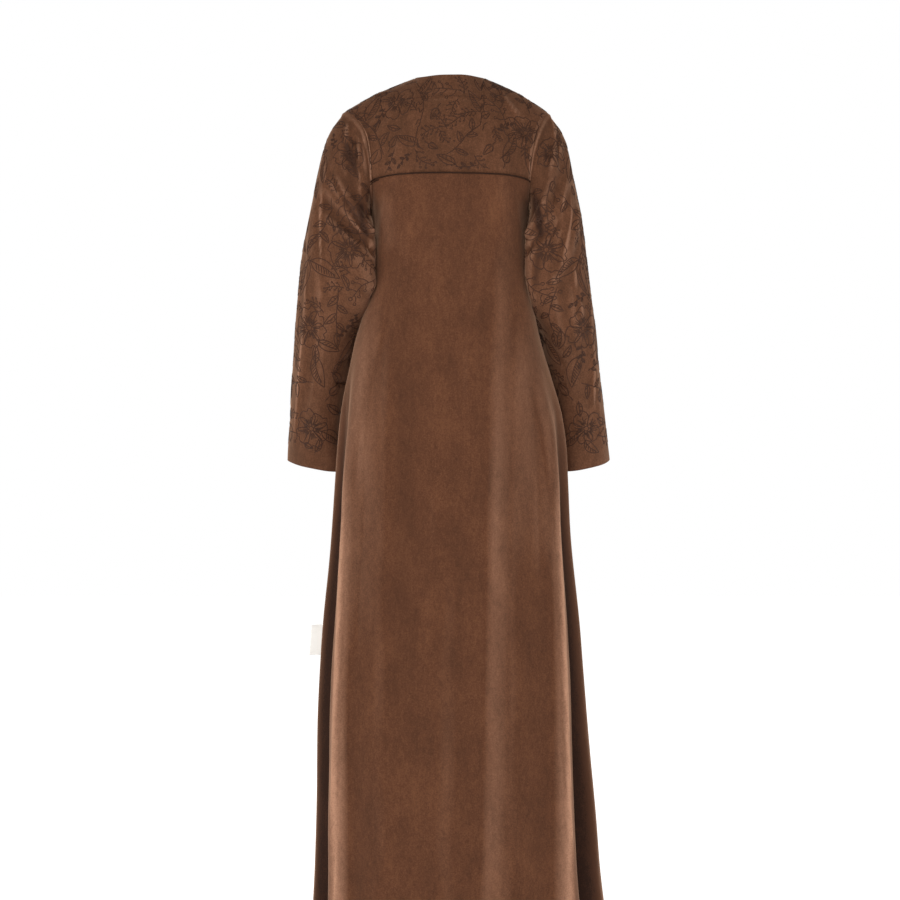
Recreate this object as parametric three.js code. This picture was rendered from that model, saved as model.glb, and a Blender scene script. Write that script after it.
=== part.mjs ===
// Abaya: a floor-length, long-sleeved robe in soft brushed cloth, hollow and hanging as it is worn.
// Millimetres, +Z up. The front faces -Y and the wearer's left is +X. The origin is the middle of the
// neck opening, level with the inner ends of the shoulder seams, where the wearer's shoulders hold it.
//
// The body is one surface wrapped round the wearer. Below the underarms it is a stack of level rings;
// above them each strip rises from the underarm ring, over the shoulder blade or the chest, to the
// shoulder seam. Panels are windows cut from that surface, so neighbours meet edge to edge. Each sleeve
// is a stack of slanted rings from the armhole to the cuff. Every piece is a wall of cloth: outer
// points, and the same points moved in by the cloth's thickness.
import * as THREE from "three";

// ---- Driving sizes -------------------------------------------------------------------------------
const CLOTH = 2; // thickness of the cloth wall
const SEAM_GAP = 0.3; // space left between pieces that are sewn together
const UNDERARM_Z = -230; // level of the lowest point of the armholes
const HEM_Z = -1515;

const NECK = { halfWidth: 63, topZ: 0.5, frontDrop: 76, angle: 18, crown: 52, crownHalf: 70 };
const ARMHOLE = { underX: 141, backReach: 63, frontReach: 47, turnFrom: -0.3, turnOver: 0.4 };
const YOKE = { centreZ: -180, sideDrop: 11 };
const PIPING = { width: 4, thickness: 1.2, endAngle: 88.6 };
const FRONT_LAP = { halfWidth: 14, spread: 38 }; // each front passes the centre line by halfWidth
const LABEL = { z: -1008, height: 54, reach: 21, layer: 0.8, slit: 0.5 };

// Where each armhole meets the shoulder seam. "flare" keeps the armhole close to the body low down.
const SHOULDER_Y = -6;
const SHOULDERS = {
  left: { tipX: 188, tipZ: -56, flare: 5 },
  right: { tipX: 175, tipZ: -58, flare: 3 },
};
const SHOULDER_FALL = { even: 0.65, late: 0.35 }; // how much of the seam's fall is even, and near its tip

// The strips above the underarm ring, at the centre and at the armhole of the back and of the front:
// how far a strip leans out and up as it leaves the ring, and as it comes in to the shoulder seam.
const STRIPS = {
  backCentre: { footOut: 1, footUp: 110, topOut: 67, topUp: 16 },
  backSide: { footOut: 3, footUp: 60, topOut: 38, topUp: -2 },
  frontCentre: { footOut: -17, footUp: 88, topOut: 46, topUp: -36 },
  frontSide: { footOut: 2, footUp: 56, topOut: 42, topUp: -4 },
};
const STRIP_BLEND = { lean: 1.5, pull: 3 }; // how late the strips turn from the centre's form to the side's

// Body sections: distance of the side seams from the centre, and of the centre back and centre front.
const SECTIONS = [
  { z: UNDERARM_Z, left: 141, right: 141, back: 108, front: 108, square: 2.7 },
  { z: -270, left: 139, right: 139, back: 108, front: 116, square: 2.55 },
  { z: -320, left: 138, right: 138, back: 109, front: 120, square: 2.5 },
  { z: -380, left: 142, right: 143, back: 111, front: 120, square: 2.45 },
  { z: -430, left: 153, right: 154, back: 113, front: 120, square: 2.45 },
  { z: -480, left: 169, right: 166, back: 118, front: 122, square: 2.4 },
  { z: -540, left: 186, right: 184, back: 124, front: 125, square: 2.35 },
  { z: -600, left: 197, right: 201, back: 129, front: 128, square: 2.3 },
  { z: -660, left: 203, right: 210, back: 134, front: 132, square: 2.3 },
  { z: -720, left: 207, right: 213, back: 139, front: 136, square: 2.3 },
  { z: -830, left: 214, right: 218, back: 148, front: 146, square: 2.3 },
  { z: -970, left: 227, right: 232, back: 160, front: 158, square: 2.3 },
  { z: -1120, left: 236, right: 245, back: 172, front: 169, square: 2.3 },
  { z: -1260, left: 239, right: 257, back: 183, front: 178, square: 2.3 },
  { z: -1400, left: 243, right: 268, back: 192, front: 186, square: 2.3 },
  { z: HEM_Z, left: 249, right: 281, back: 198, front: 192, square: 2.3 },
];

// Hanging folds of the body. Angles run from the centre back, positive to the wearer's left. A fold
// begins at "start", reaches its top depth at "full" and grows to its hem depth.
const BODY_FOLDS = [
  { topAngle: 56, hemAngle: 55, width: 12, topDepth: 8, hemDepth: 15, start: -430, full: -760 },
  { topAngle: 73, hemAngle: 71, width: 14, topDepth: -17, hemDepth: -32, start: -430, full: -760 },
  { topAngle: -58, hemAngle: -48, width: 12, topDepth: 8, hemDepth: 15, start: -470, full: -780 },
  { topAngle: -75, hemAngle: -66, width: 15, topDepth: -17, hemDepth: -40, start: -470, full: -780 },
  { topAngle: -20, hemAngle: -19, width: 17, topDepth: 6, hemDepth: 10, start: -230, full: -900 },
  { topAngle: 29, hemAngle: 27, width: 15, topDepth: 5, hemDepth: 4, start: -230, full: -520 },
  { topAngle: 112, hemAngle: 112, width: 13, topDepth: -12, hemDepth: -26, start: -520, full: -950 },
  { topAngle: 129, hemAngle: 131, width: 14, topDepth: 9, hemDepth: 18, start: -420, full: -900 },
  { topAngle: 149, hemAngle: 152, width: 13, topDepth: -6, hemDepth: -15, start: -420, full: -900 },
  { topAngle: -112, hemAngle: -110, width: 13, topDepth: -12, hemDepth: -28, start: -520, full: -950 },
  { topAngle: -130, hemAngle: -129, width: 14, topDepth: 8, hemDepth: 17, start: -420, full: -900 },
  { topAngle: -150, hemAngle: -151, width: 13, topDepth: -6, hemDepth: -14, start: -420, full: -900 },
];

// Sleeve sections: where the outer line of the arm and the inner line by the body run, and the tube's
// middle from front to back with half its size that way. "lean" raises the back edge of a section.
const SLEEVE_SECTIONS = [
  { leftX: 188, rightX: 175, outerZ: -56, innerX: 141, innerZ: -230, y: 2, half: 63, lean: 0 },
  { leftX: 218, rightX: 203, outerZ: -99, innerX: 142, innerZ: -246, y: 4, half: 65, lean: 0 },
  { leftX: 237, rightX: 220, outerZ: -165, innerX: 141, innerZ: -276, y: 7, half: 66, lean: 0 },
  { leftX: 250, rightX: 232, outerZ: -230, innerX: 140, innerZ: -312, y: 9, half: 65, lean: 0 },
  { leftX: 262, rightX: 242, outerZ: -295, innerX: 142, innerZ: -354, y: 8, half: 63, lean: -1 },
  { leftX: 270, rightX: 250, outerZ: -360, innerX: 149, innerZ: -402, y: 2, half: 61, lean: -2 },
  { leftX: 278, rightX: 259, outerZ: -425, innerX: 163, innerZ: -456, y: -10, half: 59, lean: -4 },
  { leftX: 284, rightX: 268, outerZ: -490, innerX: 181, innerZ: -514, y: -30, half: 57, lean: -5 },
  { leftX: 290, rightX: 277, outerZ: -555, innerX: 195, innerZ: -574, y: -54, half: 55, lean: -6 },
  { leftX: 294, rightX: 286, outerZ: -620, innerX: 196, innerZ: -636, y: -80, half: 54, lean: -7 },
  { leftX: 299, rightX: 295, outerZ: -684, innerX: 190, innerZ: -703, y: -106, half: 53, lean: -8 },
];

// Large folds of the sleeves, each a line from one place to another. "along" is the share of the
// sleeve's length from the armhole, and "round" is degrees from the outer line towards the back.
const SLEEVE_FOLDS = [
  { side: "left", along: 0.27, round: 55, toAlong: 0.31, toRound: 160, width: 24, depth: -11 },
  { side: "left", along: 0.38, round: 125, toAlong: 0.44, toRound: 158, width: 36, depth: 8 },
  { side: "left", along: 0.2, round: 70, toAlong: 0.22, toRound: 150, width: 26, depth: 7 },
  { side: "left", along: 0.3, round: 24, toAlong: 0.52, toRound: 62, width: 24, depth: 5 },
  { side: "left", along: 0.1, round: 62, toAlong: 0.16, toRound: 98, width: 22, depth: -6 },
  { side: "right", along: 0.12, round: 45, toAlong: 0.19, toRound: 100, width: 24, depth: 6 },
  { side: "right", along: 0.3, round: 18, toAlong: 0.46, toRound: 88, width: 25, depth: 7 },
  { side: "right", along: 0.3, round: 105, toAlong: 0.31, toRound: 155, width: 26, depth: -9 },
  { side: "right", along: 0.21, round: 118, toAlong: 0.23, toRound: 150, width: 28, depth: 7 },
  { side: "both", along: 0.52, round: 215, toAlong: 0.57, toRound: 320, width: 30, depth: -7 },
  { side: "both", along: 0.66, round: 225, toAlong: 0.68, toRound: 300, width: 28, depth: -5 },
];
const SLEEVE_LENGTH = 650; // along the outer line, for the folds' places
const SLEEVE_RADIUS = 58;
const CAP_SHARE = 0.3; // share of the sleeve over which it settles from the armhole into its rings

// How finely each surface is divided: degrees from the centre back, levels and rows.
const SIDE = { back: 90, front: 90.0001 }; // the side seam, just to the back and front of it
const NECK_ANGLES = [0, 5, 9.5, 13, 15.5, 17.2, NECK.angle];
const BACK_ANGLES = [...NECK_ANGLES, 22, ...steps(28, 88, 16), SIDE.back];
const FRONT_ANGLES = [SIDE.front, ...steps(94, 158, 16), 162, 162.8, 164.5, 167, 171, 176];
const SKIRT_LEVELS = [
  HEM_Z, -1380, -1245, -1110, -980, -860, -760, -670, -590, -520, -450, -385, -320, -270,
];
const SLEEVE_ROWS = 22;
const NORMAL_STEP = { column: 1.5, row: 0.01 }; // how far apart points are compared for a normal
const YOKE_ROWS = [0, 0.11, 0.22, 0.33, 0.44, 0.56, 0.68, 0.79, 0.9, 1]; // from the yoke seam up
const CHEST_ROWS = [0, 0.09, 0.18, 0.28, 0.38, 0.48, 0.59, 0.7, 0.8, 0.9, 1]; // from the underarm up
const UNDER_YOKE_ROWS = [0, 0.5, 1]; // of the back panel, from the underarm to the yoke seam
const NEAR = 1e-6; // two places this close are one
const LAP_COLUMNS = 2; // of a front, from its last angle to its lap's edge

const SUEDE = new THREE.MeshStandardMaterial({ color: 0x6a4430, roughness: 0.92, metalness: 0 });
const EMBROIDERED = new THREE.MeshStandardMaterial({ color: 0x62402f, roughness: 0.9, metalness: 0 });
const CORDING = new THREE.MeshStandardMaterial({ color: 0x2d1a12, roughness: 0.85, metalness: 0 });
const TAPE = new THREE.MeshStandardMaterial({ color: 0xf2f0ec, roughness: 0.7, metalness: 0 });

// ---- Small tools ---------------------------------------------------------------------------------
function steps(from, to, count) {
  return Array.from({ length: count }, (_, i) => from + ((to - from) * i) / (count - 1));
}

function mix(a, b, share) {
  return a + (b - a) * share;
}

function ease(share) {
  const t = Math.min(1, Math.max(0, share));
  return t * t * (3 - 2 * t);
}

// 1 at the middle of a fold, falling smoothly to 0 one width away.
function hump(distance) {
  return Math.abs(distance) < 1 ? 0.5 + 0.5 * Math.cos(Math.PI * distance) : 0;
}

function radians(degrees) {
  return (degrees * Math.PI) / 180;
}

// A reader for a table: a smooth curve through one column, at a place between two rows.
function smoothTable(rows, placeOf) {
  const places = rows.map(placeOf);
  const last = places.length - 1;
  const downward = places[last] < places[0];
  return (key, at) => {
    let i = 0;
    while (i < last - 1 && (downward ? at < places[i + 1] : at > places[i + 1])) i++;
    const slope = (k) => {
      const a = Math.max(0, k - 1);
      const b = Math.min(last, k + 1);
      return (rows[b][key] - rows[a][key]) / (places[b] - places[a]);
    };
    const span = places[i + 1] - places[i];
    const t = Math.min(1, Math.max(0, (at - places[i]) / span));
    const near = (1 + 2 * t) * (1 - t) ** 2 * rows[i][key] + t * (1 - t) ** 2 * span * slope(i);
    const far = t * t * (3 - 2 * t) * rows[i + 1][key] - t * t * (1 - t) * span * slope(i + 1);
    return near + far;
  };
}

const bodySize = smoothTable(SECTIONS, (row) => row.z);
const sleeveSize = smoothTable(SLEEVE_SECTIONS, (row, i) => i / (SLEEVE_SECTIONS.length - 1));

function bezier([a, b, c, d], t) {
  const u = 1 - t;
  return new THREE.Vector3()
    .addScaledVector(a, u * u * u)
    .addScaledVector(b, 3 * u * u * t)
    .addScaledVector(c, 3 * u * t * t)
    .addScaledVector(d, t * t * t);
}

// ---- The armhole: one closed curve that the body panels and the sleeve share ---------------------
// round: 0 at the shoulder tip, 90 at the back, 180 under the arm, 270 at the front. side: 1 or -1.
function shoulderOf(side) {
  return side > 0 ? SHOULDERS.left : SHOULDERS.right;
}

function armholePoint(side, round) {
  const { tipX, tipZ, flare } = shoulderOf(side);
  const c = Math.cos(radians(round));
  const s = Math.sin(radians(round));
  const high = (1 + c) / 2;
  return new THREE.Vector3(
    side * mix(ARMHOLE.underX, tipX, high ** flare),
    mix(0, SHOULDER_Y, high) + s * (s > 0 ? ARMHOLE.backReach : ARMHOLE.frontReach),
    mix(UNDERARM_Z, tipZ, high),
  );
}

// At the upper half of an armhole both sides of the seam thicken straight towards its middle.
function turnToArmhole(normal, round) {
  const c = Math.cos(radians(round));
  const s = Math.sin(radians(round));
  normal.lerp(new THREE.Vector3(0, s, c), ease((c - ARMHOLE.turnFrom) / ARMHOLE.turnOver)).normalize();
}

// ---- The body's surface --------------------------------------------------------------------------
// Below the underarms. angle: 0 at the centre back, 90 at the left side seam, 180 at the front.
function skirtPoint(angle, z) {
  const s = Math.sin(radians(angle));
  const c = Math.cos(radians(angle));
  const width = bodySize(s > 0 ? "left" : "right", z);
  const depth = bodySize(c > 0 ? "back" : "front", z);
  const power = 2 / bodySize("square", z);
  const normal = new THREE.Vector3(s * depth, c * width, 0).normalize();
  const point = new THREE.Vector3(
    width * Math.sign(s) * Math.abs(s) ** power,
    depth * Math.sign(c) * Math.abs(c) ** power,
    z,
  );
  return point.addScaledVector(normal, bodyFoldDepth(angle, z));
}

function bodyFoldDepth(angle, z) {
  let depth = 0;
  for (const fold of BODY_FOLDS) {
    const grown = ease((z - fold.start) / (fold.full - fold.start));
    const down = ease((z - fold.full) / (HEM_Z - fold.full));
    const middle = mix(fold.topAngle, fold.hemAngle, down);
    depth += grown * mix(fold.topDepth, fold.hemDepth, down) * hump((angle - middle) / fold.width);
  }
  return depth;
}

// The line that the strips run to: the shoulder seam, carried on over the neck as a smooth crown.
function shoulderLine(side, share) {
  const { tipX, tipZ } = shoulderOf(side);
  const spread = Math.log(NECK.halfWidth / tipX) / Math.log(Math.sin(radians(NECK.angle)));
  const x = tipX * Math.sin(radians(90 * share)) ** spread;
  const beyond = Math.max(0, x - NECK.halfWidth) / (tipX - NECK.halfWidth);
  const fall = SHOULDER_FALL.even * beyond + SHOULDER_FALL.late * beyond ** 2;
  const crown = NECK.crown * (1 - ease(x / NECK.crownHalf));
  return new THREE.Vector3(side * x, SHOULDER_Y, tipZ * fall + crown);
}

// Above the underarms, before the armhole is fitted. rise: 0 at the underarm ring, 1 at the shoulder.
function stripPoint(side, behind, share, rise) {
  const foot = skirtPoint(side * (behind > 0 ? 90 * share : 180 - 90 * share), UNDERARM_Z);
  const top = shoulderLine(side, share);
  const centre = behind > 0 ? STRIPS.backCentre : STRIPS.frontCentre;
  const edge = behind > 0 ? STRIPS.backSide : STRIPS.frontSide;
  const size = (key) => mix(edge[key], centre[key], 1 - share ** STRIP_BLEND.lean);
  const leaving = new THREE.Vector3(0, behind * size("footOut"), size("footUp")).add(foot);
  const arriving = new THREE.Vector3(0, behind * size("topOut"), size("topUp")).add(top);
  return bezier([foot, leaving, arriving, top], rise);
}

// The whole surface above the underarms: strips drawn in so that the outermost follows the armhole.
function torsoPoint(anyAngle, rise) {
  const angle = anyAngle > 180 ? anyAngle - 360 : anyAngle < -180 ? anyAngle + 360 : anyAngle;
  const side = angle < 0 ? -1 : 1;
  const behind = Math.abs(angle) <= 90 ? 1 : -1;
  const share = behind > 0 ? Math.abs(angle) / 90 : (180 - Math.abs(angle)) / 90;
  const round = 180 - behind * 180 * rise;
  const edge = armholePoint(side, round);
  const plainEdge = stripPoint(side, behind, 1, rise);
  const point = stripPoint(side, behind, share, rise);
  const pull = share ** STRIP_BLEND.pull;
  return point.set(
    (point.x * edge.x) / plainEdge.x,
    point.y + (edge.y - plainEdge.y) * pull,
    point.z + (edge.z - plainEdge.z) * pull,
  );
}

// level: 0 at the hem, 1 at the underarm ring, 2 at the shoulder line.
function bodyPoint(angle, level) {
  if (level <= 1) return skirtPoint(angle, mix(HEM_Z, UNDERARM_Z, level));
  return torsoPoint(angle, level - 1);
}

// How far up a strip a border lies, found by halving: isBelow(point) is true under the border.
function riseWhere(angle, isBelow) {
  let low = 0;
  let high = 1;
  if (isBelow(torsoPoint(angle, high))) return high;
  for (let i = 0; i < 26; i++) {
    const middle = (low + high) / 2;
    if (isBelow(torsoPoint(angle, middle))) low = middle;
    else high = middle;
  }
  return low;
}

// The neckline: level at the back, scooped as seen from the front.
function neckRise(angle) {
  return riseWhere(angle, (point) => {
    const across = (point.x / NECK.halfWidth) ** 2;
    if (across >= 1) return true;
    const drop = NECK.topZ - point.z;
    if (point.y > SHOULDER_Y) return drop > 0;
    return drop > 0 && across + (drop / NECK.frontDrop) ** 2 > 1;
  });
}

function yokeRise(angle, offset) {
  const seamZ = YOKE.centreZ - YOKE.sideDrop * (angle / 90) ** 2;
  return riseWhere(angle, (point) => point.z < seamZ + offset);
}

// ---- Walls ---------------------------------------------------------------------------------------
// A wall of cloth over a grid of columns and rows. placeAt(column, row) gives the place on the surface
// of each outer point, and the wall thickens against the surface's normal there, found from places a
// little nearer the middle of the piece. A round wall joins its last column to its first. seamShift
// moves a point off a shared seam, and trimNormal may turn the way the wall thickens.
function wall({ name, cloth, surface, columns, rows, placeAt, round, thickness, lift, ...edges }) {
  const middleOf = (list) => (list[0] + list[list.length - 1]) / 2;
  const turn = Math.sign(columns[1] - columns[0]) * Math.sign(rows[1] - rows[0]);
  const outer = [];
  const inner = [];
  for (const row of rows) {
    for (const column of columns) {
      const [u, v] = placeAt ? placeAt(column, row) : [column, row];
      const stepU = column > middleOf(columns) ? -NORMAL_STEP.column : NORMAL_STEP.column;
      const stepV = row > middleOf(rows) ? -NORMAL_STEP.row : NORMAL_STEP.row;
      const here = surface(u, v);
      const across = surface(u + stepU, v).sub(here);
      const up = surface(u, v + stepV).sub(here);
      const normal = across.cross(up).normalize();
      normal.multiplyScalar(turn * Math.sign(stepU * stepV));
      if (edges.trimNormal) edges.trimNormal(normal, column, row, v);
      here.addScaledVector(normal, lift || 0);
      if (edges.seamShift) here.add(edges.seamShift(column, row));
      outer.push(here);
      inner.push(here.clone().addScaledVector(normal, -(thickness || CLOTH)));
    }
  }
  const geometry = new THREE.BufferGeometry();
  const numbers = [...outer, ...inner].flatMap((point) => [point.x, point.y, point.z]);
  geometry.setAttribute("position", new THREE.Float32BufferAttribute(numbers, 3));
  geometry.setIndex(gridFaces(outer, columns.length, rows.length, round));
  const mesh = new THREE.Mesh(geometry, cloth);
  mesh.name = name;
  return mesh;
}

// Faces of a closed wall: the outer grid, the inner grid turned over, and the strips along its edges.
// Each patch of the grid is split along its shorter diagonal.
function gridFaces(outer, wide, high, round) {
  const faces = [];
  const quad = (a, b, c, d) => faces.push(a, b, c, a, c, d);
  const out = (i, j) => j * wide + (i % wide);
  const inn = (i, j) => wide * high + out(i, j);
  const spans = round ? wide : wide - 1;
  const top = high - 1;
  const end = wide - 1;
  for (let i = 0; i < spans; i++) {
    for (let j = 0; j < top; j++) {
      const corners = [[i, j], [i + 1, j], [i + 1, j + 1], [i, j + 1]];
      const [a, b, c, d] = corners.map(([x, y]) => outer[out(x, y)]);
      if (a.distanceTo(c) > b.distanceTo(d)) corners.push(corners.shift());
      quad(...corners.map(([x, y]) => out(x, y)));
      const [p, q, r, s] = corners.map(([x, y]) => inn(x, y));
      quad(p, s, r, q);
    }
    quad(out(i + 1, 0), out(i, 0), inn(i, 0), inn(i + 1, 0));
    quad(out(i, top), out(i + 1, top), inn(i + 1, top), inn(i, top));
  }
  for (let j = 0; j < top && !round; j++) {
    quad(out(0, j), out(0, j + 1), inn(0, j + 1), inn(0, j));
    quad(out(end, j + 1), out(end, j), inn(end, j), inn(end, j + 1));
  }
  return faces;
}

// ---- Panels of the body --------------------------------------------------------------------------
// Columns run from the wearer's left to the right at the back, so that across x up points outwards.
// Rows: 0 at the hem, 1 at the underarm level, 2 at the panel's top edge.
const backColumns = [...BACK_ANGLES].reverse().concat(BACK_ANGLES.slice(1).map((a) => -a));

function rowsAbove(upperRows) {
  const skirtRows = SKIRT_LEVELS.map((z) => (z - HEM_Z) / (UNDERARM_Z - HEM_Z));
  return [...skirtRows, 1, ...upperRows.slice(1).map((row) => 1 + row)];
}

function sideSeamShift(angle, row) {
  const isSideSeam = Math.abs(angle) >= SIDE.back && Math.abs(angle) <= SIDE.front && row <= 1;
  return isSideSeam ? SEAM_GAP / 2 : 0;
}

function backPanel() {
  return wall({
    name: "back_panel",
    cloth: SUEDE,
    surface: bodyPoint,
    columns: backColumns,
    rows: rowsAbove(UNDER_YOKE_ROWS),
    placeAt: (angle, row) => [angle, row <= 1 ? row : 1 + yokeRise(angle, -SEAM_GAP / 2) * (row - 1)],
    seamShift: (angle, row) => new THREE.Vector3(0, sideSeamShift(angle, row), 0),
    trimNormal: (normal, angle, row) => row === 2 && normal.setZ(0).normalize(),
  });
}

function backYoke() {
  const onShoulder = (angle, row) => row > 1 - NEAR && Math.abs(angle) > NECK.angle - NEAR;
  return wall({
    name: "back_yoke",
    cloth: EMBROIDERED,
    surface: bodyPoint,
    columns: backColumns,
    rows: YOKE_ROWS,
    placeAt: (angle, row) => [angle, 1 + mix(yokeRise(angle, SEAM_GAP / 2), neckRise(angle), row)],
    seamShift: (angle, row) => new THREE.Vector3(0, onShoulder(angle, row) ? SEAM_GAP / 2 : 0, 0),
    trimNormal: (normal, angle, row, level) => {
      if (row === 0) normal.setZ(0).normalize();
      if (onShoulder(angle, row)) normal.setY(0).normalize();
      if (Math.abs(angle) === SIDE.back) turnToArmhole(normal, 180 * (2 - level));
    },
  });
}

function yokePiping() {
  const inside = backColumns.filter((angle) => Math.abs(angle) < PIPING.endAngle);
  return wall({
    name: "yoke_piping",
    cloth: CORDING,
    surface: bodyPoint,
    columns: [PIPING.endAngle, ...inside, -PIPING.endAngle],
    rows: [0, 1],
    thickness: PIPING.thickness,
    lift: SEAM_GAP + PIPING.thickness,
    placeAt: (angle, row) => [angle, 1 + yokeRise(angle, PIPING.width * (row - 0.5))],
  });
}

// The fronts lap at the centre line, the wearer's right over the left. The last columns of each front
// are spread from its last angle to the lap's edge.
function lapAngle(level) {
  const z = mix(HEM_Z, UNDERARM_Z, Math.min(1, level));
  const share = FRONT_LAP.halfWidth / bodySize("left", z);
  return (Math.asin(share ** (bodySize("square", z) / 2)) * 180) / Math.PI;
}

function frontPanel(side) {
  const lastAngle = FRONT_ANGLES[FRONT_ANGLES.length - 1];
  const columns = FRONT_ANGLES.concat(steps(lastAngle + 1, lastAngle + LAP_COLUMNS, LAP_COLUMNS));
  const onShoulder = (column, row) => row > 2 - NEAR && column < 180 - NECK.angle + NEAR;
  const liftedPoint = (column, level) => {
    const past = Math.max(0, column - lastAngle) / LAP_COLUMNS;
    const angle = mix(Math.min(column, lastAngle), 180 + lapAngle(level), past);
    const point = bodyPoint(side * angle, level);
    const fromEdge = side * point.x + FRONT_LAP.halfWidth;
    const over = side < 0 ? ease(2 - fromEdge / FRONT_LAP.spread) : 0;
    point.y -= over * (CLOTH + 3 * SEAM_GAP);
    return point;
  };
  return wall({
    name: side > 0 ? "front_left" : "front_right",
    cloth: SUEDE,
    surface: liftedPoint,
    columns: side > 0 ? columns.reverse() : columns,
    rows: rowsAbove(CHEST_ROWS),
    placeAt: (column, row) => {
      if (row <= 1) return [column, row];
      const past = Math.max(0, column - lastAngle) / LAP_COLUMNS;
      const angle = mix(Math.min(column, lastAngle), 180 + lapAngle(row), past);
      return [column, 1 + neckRise(side * angle) * (row - 1)];
    },
    seamShift: (column, row) => {
      const shift = onShoulder(column, row) ? SEAM_GAP / 2 : sideSeamShift(column, row);
      return new THREE.Vector3(0, -shift, 0);
    },
    trimNormal: (normal, column, row, level) => {
      if (onShoulder(column, row)) normal.setY(0).normalize();
      if (column === SIDE.front && level > 1) turnToArmhole(normal, 180 * level);
    },
  });
}

// ---- Sleeves -------------------------------------------------------------------------------------
function sleeveRingPoint(side, round, along) {
  const c = Math.cos(radians(round));
  const s = Math.sin(radians(round));
  const outerX = sleeveSize(side > 0 ? "leftX" : "rightX", along);
  const innerX = sleeveSize("innerX", along);
  const outerZ = sleeveSize("outerZ", along);
  const innerZ = sleeveSize("innerZ", along);
  return new THREE.Vector3(
    side * mix(innerX, outerX, (1 + c) / 2),
    sleeveSize("y", along) + sleeveSize("half", along) * s,
    mix(innerZ, outerZ, (1 + c) / 2) + sleeveSize("lean", along) * s,
  );
}

function smoothSleevePoint(side, round, along) {
  const fit = armholePoint(side, round).sub(sleeveRingPoint(side, round, 0));
  return sleeveRingPoint(side, round, along).addScaledVector(fit, 1 - ease(along / CAP_SHARE));
}

function sleeveFoldDepth(side, round, along) {
  const sideName = side > 0 ? "left" : "right";
  const place = (r, a) => new THREE.Vector2(radians(r) * SLEEVE_RADIUS, a * SLEEVE_LENGTH);
  const here = place(((round % 360) + 360) % 360, along);
  let depth = 0;
  for (const fold of SLEEVE_FOLDS) {
    if (fold.side !== "both" && fold.side !== sideName) continue;
    const from = place(fold.round, fold.along);
    const line = place(fold.toRound, fold.toAlong).sub(from);
    const share = Math.min(1, Math.max(0, here.clone().sub(from).dot(line) / line.lengthSq()));
    const off = here.distanceTo(from.addScaledVector(line, share));
    depth += fold.depth * hump(off / fold.width);
  }
  return depth;
}

function sleevePoint(side, round, along) {
  const here = smoothSleevePoint(side, round, along);
  const around = smoothSleevePoint(side, round + 1e-3, along).sub(here);
  const down = smoothSleevePoint(side, round, along + 1e-4).sub(here);
  const outward = around.cross(down).normalize().multiplyScalar(-side);
  return here.addScaledVector(outward, sleeveFoldDepth(side, round, along));
}

// Where round the armhole the rows of the body's panels end, so that the sleeve meets them there.
function armholeRounds(side) {
  const seam = yokeRise(side * 90, 0);
  const underYoke = UNDER_YOKE_ROWS.slice(1).map((row) => row * seam);
  const besideYoke = YOKE_ROWS.slice(1).map((row) => mix(seam, 1, row));
  const back = [...underYoke, ...besideYoke].map((rise) => 180 * (1 - rise)).reverse();
  const front = CHEST_ROWS.slice(0, -1).map((rise) => 180 * (1 + rise));
  return [...back, ...front];
}

function sleeve(side) {
  return wall({
    name: side > 0 ? "sleeve_left" : "sleeve_right",
    cloth: EMBROIDERED,
    surface: (round, along) => sleevePoint(side, round, along),
    columns: side > 0 ? armholeRounds(side) : armholeRounds(side).reverse(),
    rows: steps(1, 0, SLEEVE_ROWS),
    round: true,
    seamShift: () => new THREE.Vector3(side * SEAM_GAP, 0, 0),
    trimNormal: (normal, round, along) => along === 0 && turnToArmhole(normal, round),
  });
}

// ---- The tape folded into the left side seam -------------------------------------------------------
function sideLabel() {
  const outerR = LABEL.layer + LABEL.slit / 2;
  const innerR = LABEL.slit / 2;
  const bendX = LABEL.reach - outerR;
  const outline = new THREE.Shape();
  outline.moveTo(0, outerR);
  outline.lineTo(bendX, outerR);
  outline.absarc(bendX, 0, outerR, Math.PI / 2, -Math.PI / 2, true);
  outline.lineTo(0, -outerR);
  outline.lineTo(0, -innerR);
  outline.lineTo(bendX, -innerR);
  outline.absarc(bendX, 0, innerR, -Math.PI / 2, Math.PI / 2, false);
  outline.lineTo(0, innerR);
  outline.closePath();
  const geometry = new THREE.ExtrudeGeometry(outline, {
    depth: LABEL.height,
    bevelEnabled: false,
    curveSegments: 6,
  });
  const low = skirtPoint(SIDE.back, LABEL.z - LABEL.height / 2);
  const high = skirtPoint(SIDE.back, LABEL.z + LABEL.height / 2);
  const mesh = new THREE.Mesh(geometry, TAPE);
  mesh.name = "side_label";
  mesh.position.set(low.x + 2 * SEAM_GAP, low.y, low.z);
  mesh.rotation.y = Math.atan2(high.x - low.x, high.z - low.z);
  return mesh;
}

// ---- The garment ---------------------------------------------------------------------------------
const abaya = new THREE.Group();
abaya.name = "abaya";
abaya.add(backPanel(), backYoke(), yokePiping(), frontPanel(1), frontPanel(-1));
abaya.add(sleeve(1), sleeve(-1), sideLabel());

export default abaya;
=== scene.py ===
# Abaya: a floor-length robe in brown microfibre suede, hollow and hanging as it is worn, seen from behind.
# The yoke and both sleeves are embroidered, the back and the fronts are plain. Garment sizes are in
# millimetres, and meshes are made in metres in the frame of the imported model: +Z up, the wearer's left +X.
import math

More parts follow.
